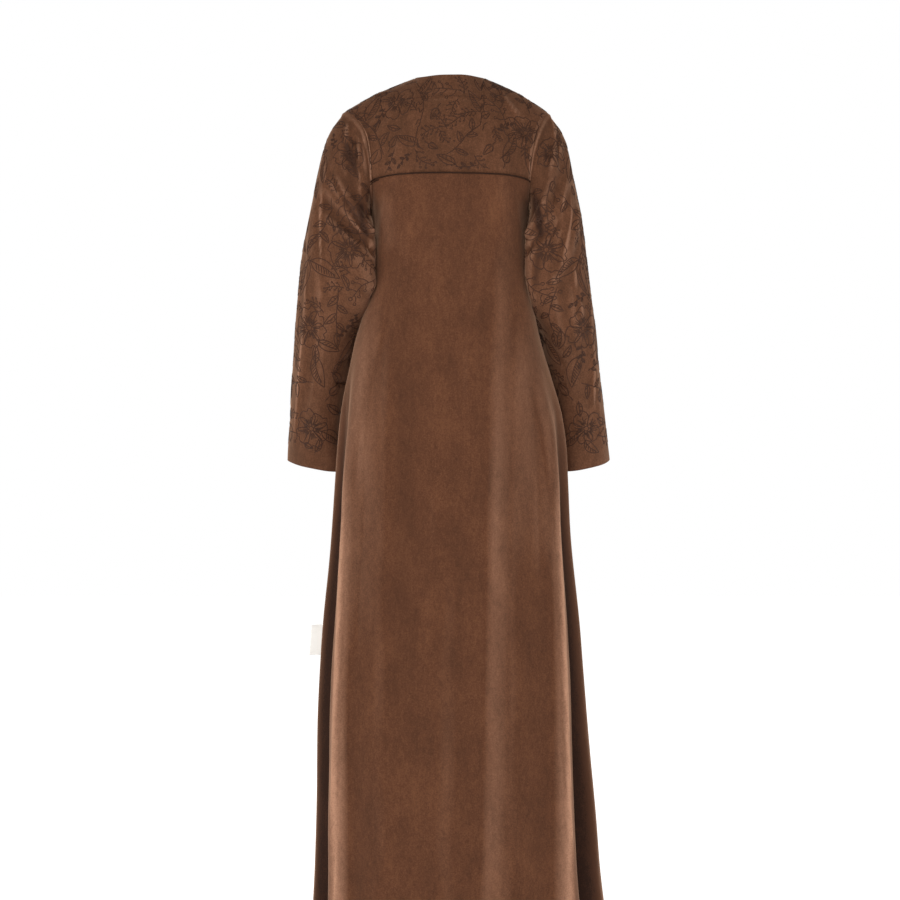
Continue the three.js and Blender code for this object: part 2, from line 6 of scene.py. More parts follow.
import bpy
import numpy as np
from bpy.props import FloatProperty, FloatVectorProperty, IntProperty, PointerProperty
from bpy.types import Operator, Panel, PropertyGroup
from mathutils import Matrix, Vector


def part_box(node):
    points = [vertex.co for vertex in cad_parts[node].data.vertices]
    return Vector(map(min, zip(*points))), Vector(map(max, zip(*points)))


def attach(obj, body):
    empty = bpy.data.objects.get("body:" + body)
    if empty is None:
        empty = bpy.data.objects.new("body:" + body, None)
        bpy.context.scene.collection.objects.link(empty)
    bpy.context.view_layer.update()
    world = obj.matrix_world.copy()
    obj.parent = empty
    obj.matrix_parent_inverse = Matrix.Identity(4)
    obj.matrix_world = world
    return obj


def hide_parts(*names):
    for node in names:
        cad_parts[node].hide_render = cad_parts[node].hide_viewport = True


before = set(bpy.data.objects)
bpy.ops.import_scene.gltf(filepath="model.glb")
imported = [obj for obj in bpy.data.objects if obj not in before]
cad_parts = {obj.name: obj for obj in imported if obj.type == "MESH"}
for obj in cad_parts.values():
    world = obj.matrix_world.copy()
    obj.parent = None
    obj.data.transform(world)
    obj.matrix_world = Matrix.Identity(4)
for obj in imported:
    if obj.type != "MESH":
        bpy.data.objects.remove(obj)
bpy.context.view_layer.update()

bl_info = {
    "name": "Abaya",
    "version": (1, 0, 0),
    "blender": (4, 5, 0),
    "location": "View3D > Sidebar > Abaya",
    "description": "Makes the embroidered suede abaya, its seams and its stage",
    "category": "Object",
}

MM = 0.001

# ---- The garment's sizes ---------------------------------------------------------------------------
SEAM_GAP = 0.04
LAP_CLEAR = 0.9
CLOTH_OF_THE_SOLIDS = 2.0
UNDERARM_Z = -230.0
HEM_Z = -1515.0
NECK = dict(half_width=63, top_z=0.5, front_drop=76, angle=18, crown=52, crown_half=70)
ARMHOLE = dict(under_x=141, back_reach=63, front_reach=47)
YOKE = dict(centre_z=-180, side_drop=11)
FRONT_LAP = dict(half_width=14, spread=38, last_angle=176)
SHOULDER_Y = -6.0
SHOULDERS = dict(left=dict(tip_x=188, tip_z=-56, flare=5), right=dict(tip_x=175, tip_z=-58, flare=3))
SHOULDER_FALL = dict(even=0.65, late=0.35)
STRIP_BLEND = dict(lean=1.5, pull=3)

# How the cloth above the underarms leans out and up, where it leaves the underarm level and where it
# comes in to the shoulder: at the centre and at the armhole, behind and in front.
STRIP_COLUMNS = ("foot_out", "foot_up", "top_out", "top_up")
STRIPS = dict(
    back_centre=(1, 110, 67, 16),
    back_side=(3, 60, 38, -2),
    front_centre=(-17, 88, 46, -36),
    front_side=(2, 56, 42, -4),
)

# Body sections: the side seams' distance from the centre, and that of the centre back and front.
SECTION_COLUMNS = ("z", "left", "right", "back", "front", "square")
SECTIONS = (
    (UNDERARM_Z, 141, 141, 108, 108, 2.7),
    (-270, 140.5, 140.5, 108, 116, 2.55),
    (-320, 139, 139, 109, 120, 2.5),
    (-380, 142, 143, 111, 120, 2.45),
    (-430, 153, 154, 113, 120, 2.45),
    (-480, 169, 166, 118, 122, 2.4),
    (-540, 186, 184, 124, 125, 2.35),
    (-600, 197, 201, 129, 128, 2.3),
    (-660, 203, 210, 134, 132, 2.3),
    (-720, 207, 213, 139, 136, 2.3),
    (-830, 214, 218, 148, 146, 2.3),
    (-970, 227, 232, 160, 158, 2.3),
    (-1120, 236, 245, 172, 169, 2.3),
    (-1260, 239, 257, 183, 178, 2.3),
    (-1400, 243, 268, 192, 186, 2.3),
    (HEM_Z, 249, 281, 198, 192, 2.3),
)

# Hanging folds of the skirt. Angles run from the centre back, positive to the wearer's left.
BODY_FOLD_COLUMNS = ("top_angle", "hem_angle", "width", "top_depth", "hem_depth", "start", "full")
BODY_FOLDS = (
    (55, 50.5, 12, 8, 15, -430, -760),
    (72, 68, 14, -17, -32, -430, -760),
    (-55, -45, 12, 8, 15, -470, -780),
    (-73, -64, 15, -17, -40, -470, -780),
    (-21, -19, 19, 5, 8, -230, -900),
    (29, 27, 15, 5, 4, -230, -520),
    (112, 112, 13, -12, -26, -520, -950),
    (129, 131, 14, 9, 18, -420, -900),
    (149, 152, 13, -6, -15, -420, -900),
    (-112, -110, 13, -12, -28, -520, -950),
    (-130, -129, 14, 8, 17, -420, -900),
    (-150, -151, 13, -6, -14, -420, -900),
)

# Sleeve sections: the outer line of the arm, the inner line by the body, the tube's middle from front
# to back and half its size that way. "back" draws the inner line back over the body's edge, or forward
# behind it, and "lean" raises the back edge.
SLEEVE_COLUMNS = ("left_x", "right_x", "outer_z", "inner_x", "inner_z", "y", "half", "back", "lean")
SLEEVE_SECTIONS = (
    (188, 175, -56, 141, -230, 2, 63, 0, 0),
    (218, 203, -99, 140, -246, 4, 65, 20, 0),
    (237, 220, -165, 135.5, -276, 7, 66, 38, 0),
    (250, 232, -230, 132, -312, 9, 65, 46, 0),
    (262, 242, -295, 132.5, -354, 8, 63, 46, -1),
    (270, 250, -360, 143.5, -402, 2, 61, 36, -2),
    (278, 259, -425, 160.5, -456, -10, 59, -14, -4),
    (284, 268, -490, 173, -514, -30, 57, -22, -5),
    (290, 277, -555, 189, -574, -54, 55, -10, -6),
    (294, 286, -620, 196, -636, -80, 54, 0, -7),
    (299, 295, -684, 190, -703, -106, 53, 0, -8),
)
INNER_LINE_HOLD = 4
SLEEVE_LENGTH = 650.0
SLEEVE_RADIUS = 58.0
CAP_SHARE = 0.3

# Large folds of the sleeves: from one place to another, as shares of the sleeve's length and degrees
# from the outer line towards the back.
SLEEVE_FOLD_COLUMNS = ("side", "along", "round", "to_along", "to_round", "width", "depth")
SLEEVE_FOLDS = (
    ("left", 0.27, 55, 0.31, 160, 24, -11),
    ("left", 0.38, 125, 0.44, 158, 36, 8),
    ("left", 0.2, 70, 0.22, 150, 26, 7),
    ("left", 0.32, 33, 0.52, 64, 22, 5),
    ("left", 0.1, 62, 0.16, 98, 22, -6),
    ("right", 0.12, 45, 0.19, 100, 24, 6),
    ("right", 0.32, 34, 0.46, 92, 21, 7),
    ("right", 0.3, 105, 0.31, 155, 26, -9),
    ("right", 0.21, 118, 0.23, 150, 28, 7),
    ("both", 0.52, 215, 0.57, 320, 30, -7),
    ("both", 0.66, 225, 0.68, 300, 28, -5),
)

# Creases: soft troughs and ridges too small for the solids. Each runs from (x, z) to (to_x, to_z) as
# seen from behind or from the front, and bows sideways by "bend". "crisp" 1 is rounded, higher is sharper.
CREASE_COLUMNS = ("x", "z", "to_x", "to_z", "bend", "width", "depth", "crisp")
SLEEVE_CREASES_BEHIND = dict(
    left=(
        (182, -79, 182, -128, 2, 9, 4.5, 2),
        (182, -126, 158, -200, -4, 9, 4.5, 2),
        (171, -104, 168, -156, 1, 10, -8, 1),
        (168, -140, 160, -196, 2, 8, -5, 1.5),
        (150, -84, 150, -190, 2, 9, 3, 1),
        (212, -172, 146, -286, 5, 11, -9, 2),
        (203, -190, 158, -268, 5, 11, 5, 1.5),
        (227, -188, 228, -335, 2, 9, 3.6, 2),
        (221, -140, 226, -180, 3, 6, -2.5, 1.5),
        (229, -150, 222, -190, -3, 6, 2.5, 1.5),
        (252, -285, 288, -655, -7, 11, 4, 1.5),
        (243, -320, 268, -600, -8, 13, -2.2, 1),
        (207, -545, 186, -547, 1, 7, -4, 1.5),
        (170, -478, 190, -505, 2, 8, 3, 1.5),
        (162, -440, 184, -470, 2, 9, -3.5, 1),
        (178, -300, 214, -396, 5, 22, 3, 1),
        (232, -430, 252, -560, 5, 20, -2.5, 1),
    ),
    right=(
        (-135, -38, -171, -59, -3, 8, 3, 1.5),
        (-171, -59, -187, -117, -5, 9, 4.5, 2),
        (-187, -117, -174, -178, -3, 9, 4, 1.5),
        (-200, -96, -213, -172, -3, 9, 4, 2),
        (-193, -110, -196, -165, 0, 7, -4, 1.5),
        (-212, -178, -197, -245, 2, 10, 5, 1.5),
        (-213, -214, -198, -335, -6, 11, 5, 1.5),
        (-196, -190, -182, -240, 2, 9, -5, 1.5),
        (-203, -258, -176, -300, 3, 12, -5, 1.5),
        (-221, -342, -224, -378, 1, 9, 3, 1.5),
        (-234, -402, -238, -432, 1, 9, 3, 1.5),
        (-257, -500, -260, -590, 1, 9, 3, 1.5),
        (-248, -300, -279, -640, 8, 12, 3, 1.5),
        (-196, -330, -222, -480, 6, 18, -3, 1),
        (-182, -480, -204, -510, 2, 9, -3.5, 1.5),
        (-190, -545, -212, -548, 1, 8, -3, 1.5),
    ),
)
SLEEVE_CREASES_IN_FRONT = dict(
    left=(
        (232, -220, 168, -300, -5, 14, -5, 1.5),
        (246, -300, 176, -372, -6, 15, -6, 1.5),
        (262, -372, 190, -430, -5, 15, -6, 1.5),
        (262, -440, 204, -478, -4, 13, -4, 1.5),
        (214, -120, 190, -200, 3, 14, -3, 1),
        (250, -540, 276, -650, 3, 16, 3, 1),
    ),
    right=(
        (-216, -214, -162, -290, 5, 14, -5, 1.5),
        (-232, -296, -170, -360, 6, 15, -6, 1.5),
        (-246, -366, -180, -424, 5, 15, -6, 1.5),
        (-250, -436, -196, -472, 4, 13, -4, 1.5),
        (-200, -118, -180, -196, -3, 14, -3, 1),
        (-242, -536, -266, -650, -3, 16, 3, 1),
    ),
)
BODY_CREASES_BEHIND = (
    (181, -560, 212, -1500, 0, 9, 5, 2),
    (-184, -600, -216, -1500, 0, 9, 5, 2),
    (150, -520, 186, -760, 4, 16, 2.5, 1),
    (-158, -560, -192, -780, -4, 16, 2.5, 1),
    (-96, -215, -80, -900, 6, 30, 4, 1),
    (-80, -640, -66, -1500, -5, 26, 3.5, 1),
    (-120, -400, -108, -900, -8, 30, 3, 1),
    (146, -330, 152, -780, 6, 34, 6, 1),
    (56, -380, 80, -1240, 9, 50, -5, 1),
    (-10, -260, 4, -760, 6, 34, -2.5, 1),
    (112, -820, 128, -1500, 5, 34, 3, 1),
    (-138, -900, -150, -1500, 5, 34, -3, 1),
    (8, -960, 20, -1500, -6, 40, 3, 1),
    (128, -215, 140, -330, 3, 14, -3, 1),
    (-128, -215, -142, -330, -3, 14, -3, 1),
    (148, -30, 112, -22, 1, 8, 2.5, 1.5),
    (108, -60, 150, -120, 3, 12, -2.5, 1),
    (-93, -26, -128, -76, 3, 9, 3, 1.5),
    (-112, -74, -150, -122, 4, 13, -2.5, 1),
    (92, -96, 122, -170, 3, 15, -1.6, 1),
    (-20, -52, -30, -170, 4, 26, -1.5, 1),
)
BODY_CREASES_IN_FRONT = (
    (60, -120, 118, -220, 6, 22, 3, 1),
    (-60, -120, -118, -220, -6, 22, 3, 1),
    (78, -230, 92, -700, 8, 30, -4, 1),
    (-78, -230, -92, -700, -8, 30, -4, 1),
    (40, -300, 52, -1500, 6, 30, 3, 1),
    (-46, -300, -60, -1500, -6, 30, 3, 1),
    (150, -600, 176, -1500, 5, 24, 3, 1),
    (-156, -600, -190, -1500, -5, 24, 3, 1),
    (112, -800, 124, -1500, 6, 26, -3, 1),
    (-118, -800, -134, -1500, -6, 26, -3, 1),
)


# ---- Small tools -----------------------------------------------------------------------------------
def rows_of(columns, table):
    """The rows of a table as dictionaries."""
    return [dict(zip(columns, row)) for row in table]


def mix(a, b, share):
    return a + (b - a) * share


def ease(share):
    t = np.clip(share, 0.0, 1.0)
    return t * t * (3 - 2 * t)


def hump(distance):
    """1 at the middle of a fold, falling smoothly to 0 one width away."""
    return np.where(np.abs(distance) < 1, 0.5 + 0.5 * np.cos(np.pi * distance), 0.0)


def stack(x, y, z):
    return np.stack(np.broadcast_arrays(x, y, z), axis=-1).astype(float)


def unit(vectors):
    size = np.linalg.norm(vectors, axis=-1, keepdims=True)
    return vectors / np.maximum(size, 1e-9)


def smooth_column(places, values):
    """A reader of one column of a table: a smooth curve through its values."""
    order = np.argsort(places)
    places = np.asarray(places, float)[order]
    values = np.asarray(values, float)[order]
    before = np.maximum(np.arange(len(places)) - 1, 0)
    after = np.minimum(np.arange(len(places)) + 1, len(places) - 1)
    slopes = (values[after] - values[before]) / (places[after] - places[before])

    def read(at):
        i = np.clip(np.searchsorted(places, at, side="right") - 1, 0, len(places) - 2)
        span = places[i + 1] - places[i]
        t = np.clip((at - places[i]) / span, 0, 1)
        near = (1 + 2 * t) * (1 - t) ** 2 * values[i] + t * (1 - t) ** 2 * span * slopes[i]
        far = t * t * (3 - 2 * t) * values[i + 1] - t * t * (1 - t) * span * slopes[i + 1]
        return near + far

    return read


def table_reader(columns, table, places):
    return {name: smooth_column(places, [row[i] for row in table]) for i, name in enumerate(columns)}


BODY_SIZE = table_reader(SECTION_COLUMNS, SECTIONS, [row[0] for row in SECTIONS])
SLEEVE_PLACES = np.linspace(0, 1, len(SLEEVE_SECTIONS))
SLEEVE_SIZE = table_reader(SLEEVE_COLUMNS, SLEEVE_SECTIONS, SLEEVE_PLACES)


# ---- The armhole -----------------------------------------------------------------------------------
def shoulder(side, key):
    return np.where(side > 0, SHOULDERS["left"][key], SHOULDERS["right"][key])


def armhole_point(side, round_):
    """round_: 0 at the shoulder tip, 90 at the back, 180 under the arm, 270 at the front."""
    c = np.cos(np.radians(round_))
    s = np.sin(np.radians(round_))
    high = (1 + c) / 2
    reach = np.where(s > 0, ARMHOLE["back_reach"], ARMHOLE["front_reach"])
    return stack(
        side * mix(ARMHOLE["under_x"], shoulder(side, "tip_x"), high ** shoulder(side, "flare")),
        mix(0, SHOULDER_Y, high) + s * reach,
        mix(UNDERARM_Z, shoulder(side, "tip_z"), high),
    )


# ---- The body's surface ----------------------------------------------------------------------------
def skirt_fold_depth(angle, z):
    depth = 0.0
    for fold in rows_of(BODY_FOLD_COLUMNS, BODY_FOLDS):
        grown = ease((z - fold["start"]) / (fold["full"] - fold["start"]))
        down = ease((z - fold["full"]) / (HEM_Z - fold["full"]))
        middle = mix(fold["top_angle"], fold["hem_angle"], down)
        size = mix(fold["top_depth"], fold["hem_depth"], down)
        depth = depth + grown * size * hump((angle - middle) / fold["width"])
    return depth


def skirt_point(angle, z):
    s = np.sin(np.radians(angle))
    c = np.cos(np.radians(angle))
    width = np.where(s > 0, BODY_SIZE["left"](z), BODY_SIZE["right"](z))
    depth = np.where(c > 0, BODY_SIZE["back"](z), BODY_SIZE["front"](z))
    power = 2 / BODY_SIZE["square"](z)
    outward = unit(stack(s * depth, c * width, 0))
    point = stack(width * np.sign(s) * np.abs(s) ** power, depth * np.sign(c) * np.abs(c) ** power, z)
    return point + outward * np.asarray(skirt_fold_depth(angle, z))[..., None]


def shoulder_line(side, share):
    tip_x = shoulder(side, "tip_x")
    tip_z = shoulder(side, "tip_z")
    half = NECK["half_width"]
    spread = np.log(half / tip_x) / np.log(np.sin(np.radians(NECK["angle"])))
    x = tip_x * np.sin(np.radians(90 * share)) ** spread
    beyond = np.maximum(0, x - half) / (tip_x - half)
    fall = SHOULDER_FALL["even"] * beyond + SHOULDER_FALL["late"] * beyond**2
    crown = NECK["crown"] * (1 - ease(x / NECK["crown_half"]))
    return stack(side * x, SHOULDER_Y, tip_z * fall + crown)


def strip_size(key, behind, share):
    column = STRIP_COLUMNS.index(key)
    edge = np.where(behind > 0, STRIPS["back_side"][column], STRIPS["front_side"][column])
    centre = np.where(behind > 0, STRIPS["back_centre"][column], STRIPS["front_centre"][column])
    return mix(edge, centre, 1 - share ** STRIP_BLEND["lean"])


def strip_point(side, behind, share, rise):
    foot = skirt_point(side * np.where(behind > 0, 90 * share, 180 - 90 * share), UNDERARM_Z)
    top = shoulder_line(side, share)
    size = {key: strip_size(key, behind, share) for key in STRIP_COLUMNS}
    leaving = foot + stack(0, behind * size["foot_out"], size["foot_up"])
    arriving = top + stack(0, behind * size["top_out"], size["top_up"])
    t = np.asarray(rise)[..., None]
    u = 1 - t
    return foot * u**3 + leaving * 3 * u * u * t + arriving * 3 * u * t * t + top * t**3


def torso_point(any_angle, rise):
    angle = (np.asarray(any_angle, float) + 180) % 360 - 180
    angle = np.where(np.asarray(any_angle) == 180, 180.0, angle)
    angle, rise = np.broadcast_arrays(angle, np.asarray(rise, float))
    side = np.where(angle < 0, -1, 1)
    behind = np.where(np.abs(angle) <= 90, 1, -1)
    share = np.where(behind > 0, np.abs(angle) / 90, (180 - np.abs(angle)) / 90)
    edge = armhole_point(side, 180 - behind * 180 * rise)
    plain_edge = strip_point(side, behind, np.ones_like(share), rise)
    point = strip_point(side, behind, share, rise)
    pull = share ** STRIP_BLEND["pull"]
    return stack(
        point[..., 0] * edge[..., 0] / plain_edge[..., 0],
        point[..., 1] + (edge[..., 1] - plain_edge[..., 1]) * pull,
        point[..., 2] + (edge[..., 2] - plain_edge[..., 2]) * pull,
    )


def body_point(angle, level):
    """level: 0 at the hem, 1 at the underarm level, 2 at the shoulder line."""
    angle, level = np.broadcast_arrays(np.asarray(angle, float), np.asarray(level, float))
    low = skirt_point(angle, mix(HEM_Z, UNDERARM_Z, np.minimum(level, 1)))
    high = torso_point(angle, np.maximum(level - 1, 0))
    return np.where((level > 1)[..., None], high, low)


def rise_where(angle, is_below):
    """How far up a strip a border lies, found by halving."""
    angle = np.asarray(angle, float)
    low = np.zeros_like(angle)
    high = np.ones_like(angle)
    for _ in range(26):
        middle = (low + high) / 2
        below = is_below(torso_point(angle, middle))
        low = np.where(below, middle, low)
        high = np.where(below, high, middle)
    return np.where(is_below(torso_point(angle, np.ones_like(angle))), 1.0, low)


def neck_rise(angle):
    """The neckline: level at the back, scooped in front."""

    def is_below(point):
        across = (point[..., 0] / NECK["half_width"]) ** 2
        drop = NECK["top_z"] - point[..., 2]
        under_scoop = across + (drop / NECK["front_drop"]) ** 2 > 1
        on_cloth = (drop > 0) & ((point[..., 1] > SHOULDER_Y) | under_scoop)
        return (across >= 1) | on_cloth

    return rise_where(angle, is_below)


def yoke_rise(angle, offset=0.0):
    angle = np.asarray(angle, float)
    seam_z = YOKE["centre_z"] - YOKE["side_drop"] * (angle / 90) ** 2
    return rise_where(angle, lambda point: point[..., 2] < seam_z + offset)


# ---- The sleeves' surface --------------------------------------------------------------------------
def sleeve_ring_point(side, round_, along):
    c = np.cos(np.radians(round_))
    s = np.sin(np.radians(round_))
    outer_x = SLEEVE_SIZE["left_x" if side > 0 else "right_x"](along)
    share = (1 + c) / 2
    drawn_back = SLEEVE_SIZE["back"](along) * (1 - share) ** INNER_LINE_HOLD
    lean = SLEEVE_SIZE["lean"](along)
    return stack(
        side * mix(SLEEVE_SIZE["inner_x"](along), outer_x, share),
        SLEEVE_SIZE["y"](along) + SLEEVE_SIZE["half"](along) * s + drawn_back,
        mix(SLEEVE_SIZE["inner_z"](along), SLEEVE_SIZE["outer_z"](along), share) + lean * s,
    )


def smooth_sleeve_point(side, round_, along):
    fit = armhole_point(side, round_) - sleeve_ring_point(side, round_, np.zeros_like(along))
    return sleeve_ring_point(side, round_, along) + fit * (1 - ease(along / CAP_SHARE))[..., None]


def sleeve_fold_depth(side, round_, along):
    here_r = np.radians(round_ % 360) * SLEEVE_RADIUS
    here_a = along * SLEEVE_LENGTH
    depth = np.zeros(np.broadcast(here_r, here_a).shape)
    for fold in rows_of(SLEEVE_FOLD_COLUMNS, SLEEVE_FOLDS):
        if fold["side"] not in ("both", "left" if side > 0 else "right"):
            continue
        from_r = math.radians(fold["round"]) * SLEEVE_RADIUS
        from_a = fold["along"] * SLEEVE_LENGTH
        line_r = math.radians(fold["to_round"]) * SLEEVE_RADIUS - from_r
        line_a = fold["to_along"] * SLEEVE_LENGTH - from_a
        share = ((here_r - from_r) * line_r + (here_a - from_a) * line_a) / (line_r**2 + line_a**2)
        share = np.clip(share, 0, 1)
        off = np.hypot(here_r - from_r - share * line_r, here_a - from_a - share * line_a)
        depth += fold["depth"] * hump(off / fold["width"])
    return depth


def sleeve_point(side, round_, along):
    round_, along = np.broadcast_arrays(np.asarray(round_, float), np.asarray(along, float))
    here = smooth_sleeve_point(side, round_, along)
    around = smooth_sleeve_point(side, round_ + 1e-3, along) - here
    down = smooth_sleeve_point(side, round_, along + 1e-4) - here
    outward = unit(np.cross(around, down)) * -side
    return here + outward * sleeve_fold_depth(side, round_, along)[..., None]


# ---- Creases ---------------------------------------------------------------------------------------
CREASE_STEPS = 8
CREASE_FADE = 0.3


def crease_depth(x, z, creases, at_ends=0.25):
    """Depth of the creases at places seen straight from behind or from the front."""
    depth = np.zeros(x.shape)
    for crease in rows_of(CREASE_COLUMNS, creases):
        start = np.array([crease["x"], crease["z"]], float)
        line = np.array([crease["to_x"], crease["to_z"]], float) - start
        across = np.array([-line[1], line[0]]) / np.hypot(*line)
        nearest = np.full(x.shape, np.inf)
        share = np.zeros(x.shape)
        for step in range(CREASE_STEPS):
            ends = []
            for k in (step, step + 1):
                t = k / CREASE_STEPS
                ends.append(start + line * t + across * crease["bend"] * 4 * t * (1 - t))
            part = ends[1] - ends[0]
            t = ((x - ends[0][0]) * part[0] + (z - ends[0][1]) * part[1]) / part.dot(part)
            t = np.clip(t, 0, 1)
            off = np.hypot(x - ends[0][0] - t * part[0], z - ends[0][1] - t * part[1])
            closer = off < nearest
            nearest = np.where(closer, off, nearest)
            share = np.where(closer, (step + t) / CREASE_STEPS, share)
        fade = ease(share / CREASE_FADE) * ease((1 - share) / CREASE_FADE)
        reach = np.clip(1 - nearest / crease["width"], 0, 1)
        profile = ease(reach) if crease["crisp"] <= 1 else reach ** crease["crisp"]
        depth += crease["depth"] * profile * mix(at_ends, 1, fade)
    return depth


# Painted light and shade on the back: tone 1 is a painted highlight, -1 is deep, dark painted shade. The
# first table is seen from behind like the creases and paints broad bands of light and shade; in the second, x
# is degrees round the body, for the folds at the sides, with bright crest lines and dark shaded strips beyond
# them.
PAINTED_LIGHT_BEHIND = (
    (131, -280, 184, -1120, -8, 50, 0.15, 1),
    (159, -380, 151, -770, 6, 24, 0.1, 1),
    (-96, -180, -64, -2040, -6, 34, 0.15, 1),
    (-86, -480, -57, -1900, 6, 14, 0.08, 1),
    (-138, -400, -166, -940, 8, 56, 0.13, 1),
    (7, -700, 14, -1850, -8, 26, 0.05, 1),
    (84, -300, 70, -1200, 9, 44, -0.1, 1),
    (120, -200, 96, -330, 4, 26, 0.08, 1),
)
PAINTED_LIGHT_ROUND = (
    (63.5, -480, 45.5, -1900, -4, 7, 0.5, 1),
    (64.5, -480, 46.5, -1900, -4, 2, 0.5, 1),
    (72, -480, 69, -1900, 0, 17, -1.7, 1),
    (-65.5, -480, -35, -1900, 2, 7, 0.45, 1),
    (-66.5, -480, -36, -1900, 2, 2, 0.45, 1),
    (-74.5, -520, -62.5, -1900, 0, 18, -1.2, 1),
)
# Painted shade on the sleeves: in the hollow beside each armhole and where the sleeve lies against the body's
# edge.
PAINTED_SHADE_ON_SLEEVES = dict(
    left=(
        (186, -104, 160, -182, 4, 10, -0.9, 1),
        (158, -212, 142, -306, 4, 10, -1.1, 1),
        (196, -214, 152, -268, -4, 12, -0.5, 1),
    ),
    right=(
        (-146, -204, -160, -300, -3, 11, -1.3, 1),
        (-162, -300, -150, -392, 3, 10, -0.5, 1),
    ),
)
BEND_TO_PAINTED_LIGHT = 2.2  # painted highlight or shade of a fold that bends with a radius of a millimetre
EVEN_BEND = 0.012  # the bend of the garment itself, which gets no painted highlight or shade
EDGE_POINTS = 3
PAINTED_MARK_TURN = 0.5  # how far cloth turns away before the painted marks seen from behind end


def painted_light_and_shade(cloth, behind=(), around=()):
    """Painted highlights on crests and painted shade in hollows, from how the cloth bends, with the listed
    painted marks of light and shade added.
    """
    bend = np.zeros(cloth.points.shape[:2])
    for axis in (0, 1):
        before = np.roll(cloth.points, 1, axis)
        after = np.roll(cloth.points, -1, axis)
        span = ((after - before) ** 2).sum(axis=-1)
        bow = ((2 * cloth.points - before - after) * cloth.normals).sum(axis=-1)
        part = 4 * bow / np.maximum(span, 1.0)
        if axis == 0 or not cloth.closed:
            inner = np.moveaxis(part, axis, 0)
            inner[:EDGE_POINTS] = EVEN_BEND / 2
            inner[-EDGE_POINTS:] = EVEN_BEND / 2
        bend += part
    bend = sum(np.roll(bend, step, 0) for step in (-1, 0, 1)) / 3
    painted_tone = BEND_TO_PAINTED_LIGHT * (bend - EVEN_BEND)
    x, z = cloth.points[..., 0], cloth.points[..., 2]
    facing = ease(cloth.normals[..., 1] / PAINTED_MARK_TURN)
    painted_tone = painted_tone + facing * crease_depth(x, z, behind, 0)
    painted_tone = painted_tone + crease_depth(cloth.columns[None, :] + 0 * z, z, around, 0)
    return np.clip(painted_tone, -1, 1)


def slow_waves(u, v, sizes, seed):
    """Soft unevenness of hanging cloth: a few slow waves in millimetres, the same on every run."""
    chance = np.random.default_rng(seed)
    total = np.zeros(np.broadcast(u, v).shape)
    for across, along, height in sizes:
        phase = chance.uniform(0, 2 * np.pi, 4)
        drift = 0.35 * np.sin(2 * np.pi * v / (1.7 * along) + phase[2])
        total += height * np.sin(2 * np.pi * u / across + phase[0] + drift * 2) * np.cos(
            2 * np.pi * v / along + phase[1]
        )
    return total


# ---- Cloth -----------------------------------------------------------------------------------------
class Cloth:
    """A sheet of cloth as a grid of points in millimetres, with the two places that each stands for."""

    def __init__(self, points, columns, rows, closed=False):
        self.points = points
        self.columns = np.asarray(columns, float)
        self.rows = np.asarray(rows, float)
        self.closed = closed
        self.normals = self.find_normals()

    def find_normals(self):
        points = self.points
        if self.closed:
            wrapped = np.concatenate([points[:, -1:], points, points[:, :1]], axis=1)
            across = (wrapped[:, 2:] - wrapped[:, :-2]) / 2
        else:
            across = np.gradient(points, axis=1)
        normals = unit(np.cross(across, np.gradient(points, axis=0)))
        outward = points - points.mean(axis=1, keepdims=True)
        if (normals * outward).sum() < 0:
            normals = -normals
        return normals

    def move(self, depth):
        self.points = self.points + self.normals * depth[..., None]
        self.normals = self.find_normals()

    def at(self, column, row):
        """Points and normals of the cloth at places between the grid's own."""
        points, normals, columns = self.points, self.normals, self.columns
        if self.closed:
            points = np.concatenate([points, points[:, :1]], axis=1)
            normals = np.concatenate([normals, normals[:, :1]], axis=1)
            columns = np.append(columns, columns[0] + 360)
            column = (column - columns[0]) % 360 + columns[0]
        i = between(columns, column)
        j = between(self.rows, row)
        return blend_grid(points, i, j), unit(blend_grid(normals, i, j))


def between(places, at):
    """Fractional place of each value in a rising or falling list."""
    count = np.arange(len(places), dtype=float)
    if places[0] > places[-1]:
        return np.interp(at, places[::-1], count[::-1])
    return np.interp(at, places, count)


def blend_grid(grid, i, j):
    i0 = np.minimum(i.astype(int), grid.shape[1] - 2)
    j0 = np.minimum(j.astype(int), grid.shape[0] - 2)
    s = (i - i0)[..., None]
    t = (j - j0)[..., None]
    low = grid[j0, i0] * (1 - s) + grid[j0, i0 + 1] * s
    high = grid[j0 + 1, i0] * (1 - s) + grid[j0 + 1, i0 + 1] * s
    return low * (1 - t) + high * t


def grid_faces(index):
    """Four-cornered faces between the points of a grid."""
    corners = [index[:-1, :-1], index[:-1, 1:], index[1:, 1:], index[1:, :-1]]
    return np.stack(corners, axis=-1).reshape(-1, 4)


def wall_of(cloth, thickness):
    """Points and four-cornered faces of a wall: the cloth, its inside and the strips along its edges."""
    high, wide = cloth.points.shape[:2]
    points = np.concatenate(
        [cloth.points.reshape(-1, 3), (cloth.points - cloth.normals * thickness).reshape(-1, 3)]
    )
    index = np.arange(high * wide).reshape(high, wide)
    if cloth.closed:
        index = np.concatenate([index, index[:, :1]], axis=1)
    face = grid_faces(index)
    first = cloth.points.reshape(-1, 3)[face[0]]
    turned = np.dot(np.cross(first[1] - first[0], first[3] - first[0]), cloth.normals[0, 0]) < 0
    inside = face[:, ::-1] + high * wide
    faces = [face, inside]
    borders = [index[0], index[-1][::-1]]
    if not cloth.closed:
        borders += [index[::-1, 0], index[:, -1]]
    for border in borders:
        a, b = border[:-1], border[1:]
        faces.append(np.stack([b, a, a + high * wide, b + high * wide], axis=-1))
    faces = np.concatenate(faces)
    return points, faces[:, ::-1] if turned else faces


